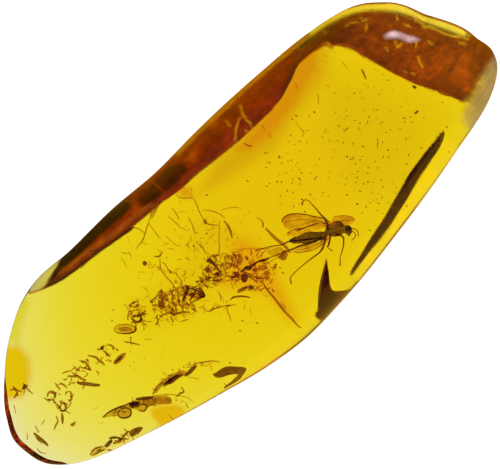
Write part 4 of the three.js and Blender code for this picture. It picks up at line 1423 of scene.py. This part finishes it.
thinEnd = {  # crumbs in the thin end, where the stone is low
    "height": 1.3,
    "spread": 0.15,
    "boldness": 1.3,
    "lines": {
        "starA": (0.12, 0.4, [(10, 391), (13.5, 389), (17, 392)]),
        "starB": (0.12, 0.3, [(13, 386), (16, 389.5), (22, 392)]),
        "starC": (0.14, 0.2, [(14, 398), (16.5, 394.5), (17, 392)]),
        "starD": (0.12, 0.3, [(17, 392), (18, 396)]),
        "armA": (0.1, 0.4, [(22, 390), (24.5, 386.5), (23, 383)]),
        "armB": (0.1, 0.4, [(25, 387), (28.5, 390), (33, 394)]),
        "armC": (0.1, 0.4, [(25, 388), (23.5, 395)]),
        "tickA": (0.1, 0.4, [(14, 405), (16, 414)]),
        "tickB": (0.1, 0.4, [(27, 433), (27.5, 440)]),
        "tickC": (0.1, 0.4, [(45, 419.5), (41.5, 425)]),
        "tickD": (0.14, 0.4, [(35, 426), (39, 432.5)]),
        "big": (0.22, 0.1, [(34, 433), (38, 437), (43, 441), (48, 445.5)]),
        "bigUnder": (0.12, 0.3, [(36, 438), (42, 443.5)]),
        "bend": (0.12, 0.4, [(56, 416), (58, 421), (56, 425), (54, 430)]),
        "post": (0.17, 0.2, [(62, 413), (62.5, 418), (62.5, 424)]),
        "arch": (0.14, 0.3, [(47.5, 397), (48, 393.5), (50, 392), (53, 392), (55, 395), (54.5, 398)]),
        "archFoot": (0.11, 0.3, [(44, 398), (48, 400), (53, 400), (55, 403), (59, 406), (61, 409)]),
        "ring": (0.12, 0.3, [
            (59, 408), (61, 405), (63.5, 402.5), (65.5, 405), (66, 408), (64, 411), (60, 410.5)]),
        "ringTail": (0.12, 0.3, [(64, 410), (70, 413.5)]),
        "low": (0.08, 0.4, [(37, 448), (40, 452), (46, 453.5)]),
        "faintA": (0.05, 0.8, [(98, 424), (104, 422.5)]),
    },
    "flakes": {
        "wedge": (0.2, [(22, 390), (24, 384), (28, 386.5)]),
        "wing": (0.3, [(70, 424.5), (76, 421.5), (73.5, 426.5)]),
    },
}
filaments = {  # fine threads between the band and the seam
    "height": 3.6,
    "spread": 0.5,
    "lines": {
        "bushA": (0.09, 0.6, [(171.5, 207.5), (175, 212), (178, 216.5), (178.3, 219.8)]),
        "bushB": (0.04, 0.8, [(178, 212.5), (182, 211.5), (188, 211.5)]),
        "bushC": (0.08, 0.6, [(168, 216), (172, 219.5), (176, 223), (180, 227), (184, 229)]),
        "bushD": (0.095, 0.6, [(188, 217), (191, 222), (193, 227), (194.5, 232), (198, 233)]),
        "crownA": (0.08, 0.6, [(176, 194.5), (178.5, 197), (183, 198), (189, 198), (192.5, 197.5)]),
        "crownB": (0.06, 0.6, [(191.5, 188), (191.5, 197)]),
        "crownC": (0.09, 0.5, [
            (192.5, 197.5), (195, 201), (197, 206), (199, 211), (202, 217), (205, 222)]),
        "crownD": (0.09, 0.5, [(205, 222), (208, 224), (213, 225), (218, 225.5)]),
        "crownTick": (0.07, 0.5, [(179.5, 200), (180.5, 203.5)]),
        "branchA": (0.08, 0.5, [(204, 210), (209, 210.5), (215, 212), (221, 215), (224.5, 218)]),
        "streakA": (0.2, 0.4, [(224, 221), (228, 226), (231, 233), (232, 238)]),
        "fallA": (0.09, 0.7, [(219.5, 220), (219, 232), (219, 245), (219, 255), (221, 258)]),
        "fallB": (0.07, 0.7, [(221, 258), (222, 254), (227, 253.5)]),
        "bandA": (0.1, 0.5, [
            (150, 217), (148.5, 223), (146, 230), (144, 237), (141.5, 242), (138, 246), (136, 249)]),
        "bandB": (0.08, 0.5, [(148.5, 223), (152, 228), (156, 233.5), (159, 237.5), (161, 238.5)]),
        "bandC": (0.08, 0.5, [(132, 227), (136, 228), (140, 229.5), (143.5, 232.5), (145, 234)]),
        "bandD": (0.07, 0.5, [(142.5, 242), (145, 243.5), (147, 244.5)]),
        "arcA": (0.055, 0.6, [(166, 236), (170, 240), (175, 244), (178.5, 246.5), (180, 244.5)]),
        "arcB": (0.09, 0.5, [(196, 241), (199, 245), (203, 248), (205, 252), (207, 254)]),
        "leafRib": (0.08, 0.3, [(203, 257.5), (205, 260.5)]),
        "curlA": (0.08, 0.4, [(220, 262), (224, 268), (226, 273), (228.5, 278)]),
        "starA": (0.12, 0.2, [(154, 256.3), (159, 256.5), (162, 252)]),
        "longA": (0.1, 0.4, [
            (160, 258), (160, 264), (161, 270), (164, 274), (168, 279), (172, 283), (175, 288),
            (178, 290)]),
        "longB": (0.08, 0.5, [(162, 261.5), (166, 266), (169, 270.5), (172, 272)]),
        "shortA": (0.12, 0.1, [(176, 273), (178, 277)]),
        "shortB": (0.09, 0.4, [(178, 277), (181, 280), (182, 284), (182, 290)]),
        "hookA": (0.08, 0.5, [(128, 252), (130.5, 254.5), (131, 258)]),
        "hookB": (0.07, 0.6, [(121, 251), (124, 253.5), (129, 252.5)]),
        "hookC": (0.07, 0.6, [(120.5, 257), (124, 262), (127, 267.5)]),
        "hookD": (0.04, 0.8, [(127, 236), (130, 243), (133, 247)]),
    },
    "flakes": {
        "leaf": (0.05, [
            (206, 261), (209.5, 258), (213, 261), (216, 264.5), (220.5, 272), (214, 266.5), (210, 263)]),
        "dotA": (0.0, [(142.5, 262), (145, 261), (147, 263), (146, 265.5), (143.5, 265.5)]),
        "dotB": (0.3, [(169, 271), (171, 271), (171.5, 273), (169.5, 273.5)]),
        "dotC": (0.8, [(174.5, 280), (177, 280), (177, 283), (174.5, 283)]),
        "lobe": (0.7, [
            (150, 218), (150, 212), (154, 206), (160, 203), (158, 208), (155, 214), (152, 218)]),
        "streakB": (0.45, [(203.5, 219), (206, 220), (207, 224), (204.5, 224)]),
    },
}
flow = {  # the round edge of an old resin flow and the streak that ends at the insect
    "height": 4.2,
    "spread": 0.2,
    "lines": {
        "edgeA": (0.06, 0.6, [(221, 210.5), (226, 208.5), (232, 207.5), (238, 207.5), (241.5, 209.5)]),
        "edgeB": (0.06, 0.6, [(247.5, 210), (250, 213)]),
        "edgeC": (0.08, 0.5, [(256, 217.5), (260, 219.5), (262, 220.5)]),
        "edgeD": (0.14, 0.4, [(262, 220.5), (263, 225), (262.5, 228)]),
        "streak": (0.25, 0.45, [
            (266, 229), (270, 233), (275, 238), (280, 242), (285, 246), (288, 250), (290, 252.5)]),
        "hairA": (0.06, 0.6, [(280, 245), (272, 247), (266, 250), (262, 254), (257, 258.5)]),
        "hairB": (0.06, 0.6, [(283, 257), (275, 259), (268, 263), (262, 266)]),
    },
    "flakes": {
        "leaf": (0.35, [(278, 258), (284, 260.5), (287, 257), (288, 253), (284, 250), (280, 255)]),
        "thin": (0.9, [
            (267, 252), (272, 249), (280, 247), (285, 252), (284, 256), (278, 257), (272, 256)]),
    },
}
slivers = {  # curved flakes of bark near the lower side
    "height": 2.0,
    "spread": 0.1,
    "flakes": {
        "longTop": (0.75, [
            (102, 417.5), (108, 412), (115, 408), (124, 405), (131, 402), (136, 400), (145, 398),
            (152, 396.5), (164, 396), (169, 397), (172, 401), (170, 404.5), (163, 404), (155, 405),
            (147, 408), (144, 412.5), (137, 410), (132, 409), (131, 414), (128, 418), (121, 418.5),
            (118, 416), (112, 416)]),
        "longSheet": (0.95, [(144, 399.5), (157, 397.5), (170, 399), (171, 404), (158, 405), (146, 406)]),
        "longBlack": (0.1, [(129, 404), (134, 401.5), (140, 402), (137, 407), (131, 408)]),
        "shortDarkSide": (0.15, [
            (163, 386), (168, 380), (176, 375.5), (184, 374), (178, 378.5), (170, 384)]),
        "shortTop": (0.6, [
            (152, 394), (155, 388), (160, 382), (168, 376.5), (175, 373), (183, 371), (187, 374),
            (178, 379), (172, 384), (165, 384), (160, 388), (157, 392)]),
    },
    "lines": {
        "blackA": (0.4, 0.0, [(131, 405), (134, 404), (137, 403)]),
        "blackB": (0.28, 0.0, [(136, 399), (142, 398.5), (148, 398), (153, 397)]),
        "edgeA": (0.14, 0.0, [(103, 417), (109, 412), (116, 408.5), (124, 405.5), (131, 402.5)]),
        "ringA": (0.14, 0.1, [
            (118, 413), (121, 409), (127, 408), (131, 411), (130, 416), (124, 418), (119, 416.5),
            (118, 413)]),
        "ringB": (0.12, 0.1, [
            (137, 408), (140, 405), (145, 404.5), (147, 407), (144, 411), (139, 410.5)]),
        "thinLine": (0.07, 0.5, [(152, 396), (165, 394.5), (178, 395.5), (188, 398), (194, 403)]),
        "shortDark": (0.2, 0.1, [(165, 384), (170, 380), (174, 377), (178, 374.5)]),
        "shortKnot": (0.3, 0.0, [(185, 376), (189, 372.5), (193, 368.5), (196, 365.5)]),
        "shortLine": (0.1, 0.3, [(190, 366), (198, 363), (205, 362), (212, 361), (220, 362)]),
        "shortTail": (0.09, 0.4, [(188, 377), (199, 379)]),
        "smallA": (0.12, 0.2, [(181, 387), (184, 391.5), (180, 393.5), (177, 396.5)]),
        "smallB": (0.1, 0.2, [(224, 383), (226, 385.5)]),
        "smallC": (0.14, 0.1, [(186, 404.5), (188.5, 408)]),
        "smallD": (0.1, 0.3, [(169, 415), (173, 419)]),
    },
}
crescent = {  # a dark olive flake, hollow in its middle: painted shade drawn where a small pit in the skin shows dark
    "height": 2.2,
    "spread": 0.0,
    "flakes": {
        "upper": (0.0, [
            (213, 374.5), (216, 373), (221, 369.5), (227, 367), (236, 367), (246, 368), (244, 373),
            (240, 378), (236, 381), (231, 384), (224, 388), (225, 386), (231, 381.5), (236, 377),
            (238, 374.5), (234, 374), (227, 375.5), (221, 377.5), (216, 377.5)]),
    },
}
bottomClump = {  # golden tubes and dark leaves along the lower edge
    "height": 1.5,
    "spread": 0.1,
    "lines": {
        "tubeA": (0.12, 0.3, [(90, 455), (93, 450), (98, 447.5), (103, 446)]),
        "tubeB": (0.12, 0.3, [(93, 455.5), (99, 452), (105, 449.5)]),
        "dark": (0.3, 0.0, [(106, 447), (108.5, 443.5), (112, 440)]),
        "bar": (0.2, 0.0, [(109, 438.5), (114, 437.5), (121, 438)]),
        "tubeC": (0.12, 0.3, [(113, 443.5), (119, 440.5), (126, 438)]),
        "link": (0.17, 0.2, [(121, 440), (125, 434.5), (129, 431)]),
    },
    "flakes": {
        "gold": (0.95, [(90, 453), (96, 448), (104, 446.5), (106, 449), (99, 453), (92, 456)]),
        "goldB": (0.95, [(113, 442.5), (119, 439.5), (126, 439), (122, 442.5), (115, 444)]),
        "leaf": (0.1, [
            (129, 432), (133, 429), (139, 427), (143, 428), (140, 432), (135, 435), (131, 436)]),
    },
}

bubble = {  # a flat gas bubble: its dark outline, drawn as dark threads, is painted shade where its edge bends light away
    "height": 2.4,
    "spread": 0.0,
    "lines": {
        "outline": (0.09, 0.35, [
            (114, 329), (116, 326), (121, 324.6), (128, 324.6), (134, 326.3), (136, 329), (134, 332),
            (128, 333.4), (121, 333.4), (116, 332), (114, 329)]),
        "thickSide": (0.12, 0.1, [(122, 333.5), (129, 333.3), (134, 331.5), (136, 329), (134.5, 326.5)]),
        "fibre": (0.08, 0.5, [(118, 329), (124, 327.5), (131, 328)]),
        "fibreB": (0.07, 0.6, [(120, 331), (126, 330.4), (132, 330.5)]),
    },
    "flakes": {
        "film": (1.0, [
            (115, 329), (118, 326), (125, 325), (132, 326.5), (135, 329), (130, 332.4), (120, 332.4)]),
        "core": (0.75, [(119, 329.5), (123, 327.6), (130, 328), (132, 329.8), (127, 331), (121, 331)]),
    },
}
specks = {  # bits scattered through the thick half
    "height": 4.6,
    "spread": 0.7,
    "lines": {
        "leaf": (0.17, 0.3, [(361.5, 69), (364, 74), (366, 79)]),
        "a": (0.12, 0.2, [(387, 80), (389, 80.5)]),
        "b": (0.1, 0.3, [(375, 68.5), (376, 70)]),
        "c": (0.1, 0.3, [(382.5, 73.5), (383.5, 74.8)]),
        "d": (0.08, 0.7, [(341, 61), (345, 65), (347.5, 69)]),
        "e": (0.1, 0.4, [(334.5, 51.5), (335.6, 52.6)]),
        "f": (0.07, 0.7, [(324, 54), (326, 58)]),
        "g": (0.09, 0.4, [(318, 94), (318.5, 104)]),
        "h": (0.1, 0.2, [(359.5, 92), (360.6, 93)]),
        "i": (0.36, 0.0, [(413, 86), (416, 88)]),
        "j": (0.13, 0.2, [(442, 102), (443, 103)]),
        "k": (0.24, 0.2, [(415, 113.5), (418, 111)]),
        "l": (0.09, 0.4, [(366.5, 125), (368, 120)]),
        "n": (0.14, 0.2, [(338, 125.5), (340, 126.5)]),
        "o": (0.15, 0.3, [(344, 131.5), (348.5, 127.5)]),
        "stem": (0.07, 0.6, [(295, 122), (300, 128), (304, 133), (302, 137)]),
        "fork": (0.07, 0.6, [(304, 131), (310, 130)]),
        "p": (0.08, 0.5, [(377, 138), (378, 143), (377, 148)]),
        "markA": (0.1, 0.5, [(262, 125), (265, 130)]),
        "markB": (0.1, 0.4, [(244, 143), (248, 145.5), (252, 146)]),
        "markC": (0.09, 0.5, [(269, 133), (271, 138)]),
        "markD": (0.08, 0.5, [(295, 82), (298, 90)]),
        "faint": (0.12, 1.0, [(234, 250), (246, 249), (258, 248.5), (270, 249)]),
    },
}
dots = {  # the smallest bits, at places on the photo
    "width": 0.15,  # mm
    "tone": -0.1,
    "reach": (0.6, 0.3),  # pixels that each reaches across and down from its place
    "right": [
        (382.5, 142.5), (347, 156.5), (363, 146.5), (353, 143), (368, 182), (383, 187), (370, 203),
        (370, 230.5), (407, 206), (449, 152), (447, 127), (247.5, 181), (277, 182), (269.5, 162.5),
        (279, 157.5), (291.5, 160), (299, 178), (296, 115.5), (292, 119), (369, 117), (305, 212),
        (310.5, 194.5), (302, 199.5), (323, 192.5), (347, 195), (360, 191)],
    "left": [
        (193.5, 246), (206.5, 233.5), (206.8, 195), (242.3, 321), (257, 323), (240, 331), (172, 324.5),
        (113, 310), (112, 320.5), (130.5, 337.5), (230, 363), (275, 265), (280, 268), (283, 273)],
}
crumbs = {  # patches: outline, count, lengths in pixels, widths in mm, tones
    "clusterA": ([
        (127, 322), (127, 308), (134, 301), (143, 305), (150, 318), (146, 325), (132, 325)],
        34, (4, 9), (0.05, 0.13), (0.5, 0.95)),
    "clusterB": ([
        (152, 312), (153, 296), (166, 289), (186, 284), (204, 290), (204, 300), (190, 309), (170, 314)],
        60, (4, 12), (0.06, 0.17), (0.5, 1.0)),
    "clusterC": ([
        (194, 288), (200, 272), (214, 262), (222, 272), (216, 286), (204, 292)],
        48, (3, 9), (0.05, 0.12), (0.5, 1.0)),
    "clusterD": ([
        (205, 262), (214, 255), (236, 252), (238, 280), (222, 284), (208, 276)],
        50, (4, 10), (0.06, 0.13), (0.5, 1.0)),
    "clusterE": ([
        (232, 256), (250, 254), (272, 260), (278, 272), (268, 290), (246, 292), (234, 280)],
        48, (3, 9), (0.06, 0.15), (0.45, 1.0)),
    "bar": ([
        (150, 318), (160, 312), (190, 309), (232, 301), (234, 305), (190, 315), (160, 321)],
        30, (3, 8), (0.05, 0.1), (0.5, 0.95)),
    "above": ([
        (138, 290), (150, 262), (168, 240), (190, 222), (226, 226), (236, 250), (205, 262), (190, 284)],
        60, (3, 9), (0.04, 0.09), (0.6, 1.0)),
}
crumbFlakes = {  # patches: outline, count, radii in pixels, tones
    "clusterA": ([
        (128, 320), (130, 308), (138, 305), (146, 318), (142, 323)],
        11, (1.5, 3.2), (0.5, 0.9)),
    "clusterB": (crumbs['clusterB'][0], 36, (1.5, 4.5), (0.5, 1.0)),
    "clusterC": (crumbs['clusterC'][0], 12, (1.2, 3.6), (0.55, 1.0)),
    "clusterD": (crumbs['clusterD'][0], 26, (1.2, 4.4), (0.55, 1.0)),
    "clusterE": (crumbs['clusterE'][0], 22, (1.2, 4.0), (0.5, 1.0)),
    "bar": (crumbs['bar'][0], 10, (0.8, 1.8), (0.5, 0.9)),
}
sliverCrumbs = {  # patches of the same kind
    "longBody": ([
        (106, 417), (118, 407), (132, 399), (150, 397), (160, 399), (150, 405), (134, 408), (122, 414)],
        34, (2, 6), (0.05, 0.12), (0.2, 0.8)),
    "longTail": ([
        (160, 398), (172, 395), (190, 400), (184, 404), (168, 403)],
        10, (3, 8), (0.05, 0.1), (0.6, 1.0)),
    "shortBody": ([
        (153, 391), (160, 378), (172, 369), (186, 364), (192, 366), (178, 374), (164, 386)],
        26, (2, 7), (0.05, 0.12), (0.3, 0.9)),
    "shortTail": ([(184, 365), (200, 362), (214, 364), (200, 368)], 8, (4, 9), (0.05, 0.12), (0.8, 1.0)),
}
clumpCrumbs = {  # and of the same kind
    "clump": ([
        (92, 454), (104, 445), (118, 437), (128, 431), (140, 428), (138, 434), (124, 441), (104, 452)],
        34, (2, 6), (0.05, 0.13), (0.2, 0.8)),
}
trailCrumbs = {  # and of the same kind
    "upper": ([
        (92, 362), (100, 350), (118, 342), (138, 340), (130, 350), (104, 366)],
        16, (3, 7), (0.05, 0.11), (0.3, 0.8)),
    "middle": ([
        (62, 384), (70, 366), (92, 360), (98, 374), (84, 390)],
        22, (3, 7), (0.06, 0.13), (0.25, 0.75)),
    "lower": ([
        (44, 408), (48, 394), (62, 390), (74, 398), (66, 416), (52, 420)],
        18, (3, 8), (0.05, 0.12), (0.3, 0.8)),
}
dust = {  # specks too small for a shape, in patches of the same kind
    "right": ([
        (300, 120), (330, 80), (380, 76), (440, 108), (436, 140), (400, 190), (372, 232), (340, 190),
        (300, 210), (262, 200), (262, 150)],
        170, (0.8, 1.8), (0.06, 0.13), (-0.4, 0.4)),
    "left": ([
        (110, 300), (150, 250), (200, 200), (262, 200), (262, 330), (200, 370), (150, 380), (100, 350)],
        90, (0.8, 1.6), (0.05, 0.1), (-0.2, 0.6)),
}
scattered = [  # group, what is added to it, by which function, in which patches, and the seed of its dice
    (seam, "lines", looseLines, crumbs, 9),
    (seam, "flakes", looseFlakes, crumbFlakes, 3),
    (trail, "lines", looseLines, trailCrumbs, 5),
    (slivers, "lines", looseLines, sliverCrumbs, 6),
    (bottomClump, "lines", looseLines, clumpCrumbs, 7),
    (specks, "lines", looseLines, dust, 2),
]
for group, kind, scatter, patches, seed in scattered:
    group[kind].update(scatter(patches, random.Random(seed)))

across, down = dots["reach"]
for group, side in ((specks, "right"), (seam, "left")):
    for k, (x, y) in enumerate(dots[side]):
        dash = [(x - across, y - down), (x + across, y + down)]
        group["lines"]["%sDot%d" % (side, k)] = (dots["width"], dots["tone"], dash)

groups = {  # name: what it holds, and the solids that its first piece stands for
    "seam": (seam, ["debris_seam"]),
    "splinter": (splinter, []),
    "husk": (husk, ["seed_husk"]),
    "trail": (trail, ["debris_trail"]),
    "thin_end": (thinEnd, []),
    "filaments": (filaments, []),
    "flow": (flow, []),
    "slivers": (slivers, ["bark_sliver_long", "bark_sliver_short"]),
    "crescent": (crescent, []),
    "bubble": (bubble, []),
    "specks": (specks, []),
    "bottom_clump": (bottomClump, []),
}
debrisDice = random.Random(4)  # for heights and tilts
for name, (group, nodes) in groups.items():
    pieces = []
    if "flakes" in group:
        pieces.append(flakesPiece(name + "_flakes", group, debrisDice))
    if "lines" in group:
        pieces.append(threadsPiece(name + "_threads", tracedLines(group, debrisDice), plantFinish))
    finishPiece(pieces[0], plantFinish, "debris", *nodes)
    for piece in pieces[1:]:
        finishPiece(piece, plantFinish, "debris")
    print(name, "made")


# The stage: a pale floor that glows softly under the stone, and studio light
stage = {
    "floorSize": 4.0,  # metres
    "floorLevel": -0.02,  # mm, just clear of the stone
    "paper": {"Base Color": (0.8, 0.8, 0.8), "Roughness": 0.9, "Specular IOR Level": 0.0},
    "unlit": {"Base Color": (0, 0, 0), "Specular IOR Level": 0.0},
    "glow": 0.82,  # under the stone
    "glowBeside": 1.0,
    "rings": [(0.5, 0.0), (0.96, 0.0), (1.0, 1.0), (1.3, 1.0)],  # share of the rim's reach, how far beside
    "ringSteps": 144,
    "glowReach": (26.0, 60.0),  # mm from the stone, where the glow starts and ends to fade
    "glowFar": 0.25,
    "skyLight": 0.06,
    "underGlow": (0.7, 0.42, 0.05),  # what polished skin mirrors from below: amber light on the table
    "underBrown": (0.5, 0.17, 0.002),  # and beside the bevels' painted brown shade
    "underDark": (0.1, 0.05, 0.004),  # and beside their darkest part
    "darkReach": (-9.0, 0.0),  # mm along the stone, between which the dark part ends
    "brownSide": (-1.5, 3.0),  # mm across the stone, between which the one becomes the other
    "brownEnd": 12.0,  # mm along it, from where the other reaches round the thick end
    "underDepth": -1.0,  # mm
    "softbox": {"place": (276, 177, 300), "size": 90, "glow": 13.0, "colour": (1, 0.88, 1)},
    "lamp": {"place": (250, 120, 300), "size": 120, "power": 0.35},
    "aim": (0, 0, 4),  # of the softbox and the lamp
    "bounces": 24,
    "clearBounces": 32,
}


def makeFloor():
    edge = stage["floorSize"] / 2 / mm
    angle = np.linspace(math.pi, -math.pi, stage["ringSteps"], endpoint=False)
    level = np.full(len(angle), stage["floorLevel"])
    rings = []
    for share, beside in stage["rings"]:
        out = share * rimReach(angle)
        rings.append(np.stack([out * stone["slenderness"] * np.cos(angle), out * np.sin(angle), level], 1))
    rings.append(np.stack([edge * np.cos(angle), edge * np.sin(angle), level], 1))
    floor = ringMesh("floor", rings, (0, 0, stage["floorLevel"]))
    beside = [0.0] + [value for share, value in stage["rings"] for _ in angle] + [1.0] * len(angle)
    keepNumbers(floor.data, "beside", beside)
    finish = Finish("paleFloor")
    away = finish.node("ShaderNodeVectorMath", {"operation": "LENGTH"}, [finish.place()], output="Value")
    fade = away.step(*(reach * mm for reach in stage["glowReach"]))
    glow = finish.blend(finish.attribute("beside"), (stage["glow"],) * 3, (stage["glowBeside"],) * 3)
    glow = finish.blend(fade, glow, (stage["glowFar"],) * 3)
    finish.set({**stage["paper"], "Emission Color": glow, "Emission Strength": 1.0})
    floor.data.materials.append(finish.material)
    floor.visible_glossy = False  # the crown doesn't mirror the lit floor


def squareSheet(name, place, turn, half):  # a square that faces along its turned z
    corners = [place + turn @ Vector((x, y, 0)) * half for x, y in ((-1, -1), (1, -1), (1, 1), (-1, 1))]
    return addMesh(name, corners, [(0, 1, 2, 3)], smooth=False)


def onlyMirrored(thing):  # seen by nothing but mirrored light
    thing.visible_camera = False
    thing.visible_diffuse = False
    thing.visible_transmission = False
    thing.visible_shadow = False


def makeUnderGlow():  # a dimmer level under the floor, seen only in mirrored light: painted reflections of amber light and of the bevels' brown shade
    half = stage["floorSize"] / 2 / mm
    level = squareSheet("under_glow", Vector((0, 0, stage["underDepth"])), Quaternion(), half)
    finish = Finish("dimGlow")
    along = finish.node("ShaderNodeSeparateXYZ", {}, [finish.place()], output="X")
    across = finish.node("ShaderNodeSeparateXYZ", {}, [finish.place()], output="Y")
    pastEnd = (along - stage["brownEnd"] * mm).orMore(0.0)
    side = (across + pastEnd).step(*(edge * mm for edge in stage["brownSide"]))
    dark = along.step(*(edge * mm for edge in stage["darkReach"]))
    # painted reflection of the bevels' brown shade, darker towards the thin end
    bark = finish.blend(dark, stage["underDark"], stage["underBrown"])
    glow = finish.blend(side, stage["underGlow"], bark)
    finish.set({**stage["unlit"], "Emission Color": glow, "Emission Strength": 1.0})
    level.data.materials.append(finish.material)
    onlyMirrored(level)


def makeSoftbox():  # what the crown's highlight mirrors, brightest in its middle
    box = stage["softbox"]
    place = Vector(box["place"])
    half = box["size"] / 2
    sheet = squareSheet("softbox", place, (Vector(stage["aim"]) - place).to_track_quat("Z", "Y"), half)
    finish = Finish("softboxGlow")
    ends = [finish.place(), place * mm]
    away = finish.node("ShaderNodeVectorMath", {"operation": "DISTANCE"}, ends, output="Value")
    glow = finish.blend(away.step(half * mm, 0.0), (0, 0, 0), box["colour"])
    finish.set({**stage["unlit"], "Emission Color": glow, "Emission Strength": box["glow"]})
    sheet.data.materials.append(finish.material)
    onlyMirrored(sheet)


def makeSky():
    world = bpy.data.worlds.new("studio")
    world.use_nodes = True
    backdrop = world.node_tree.nodes["Background"]
    backdrop.inputs["Color"].default_value = (1, 1, 1, 1)
    backdrop.inputs["Strength"].default_value = stage["skyLight"]
    bpy.context.scene.world = world


def makeLamp():  # large and soft, and not seen in the stone
    data = bpy.data.lights.new("softKey", "AREA")
    data.shape = "DISK"
    data.size = stage["lamp"]["size"] * mm
    data.energy = stage["lamp"]["power"]
    lamp = bpy.data.objects.new("softKey", data)
    place = Vector(stage["lamp"]["place"])
    lamp.location = place * mm
    lamp.rotation_euler = (Vector(stage["aim"]) - place).to_track_quat("-Z", "Y").to_euler()
    lamp.visible_glossy = False
    lamp.visible_transmission = False
    bpy.context.scene.collection.objects.link(lamp)


def setBounces():  # enough for light to leave the stone
    scene = bpy.context.scene
    scene.view_settings.view_transform = "Standard"
    scene.cycles.max_bounces = stage["bounces"]
    scene.cycles.transmission_bounces = stage["bounces"]
    scene.cycles.glossy_bounces = stage["bounces"]
    scene.cycles.transparent_max_bounces = stage["clearBounces"]


makeFloor()
makeUnderGlow()
makeSoftbox()
makeSky()
makeLamp()
setBounces()
print("stage set")
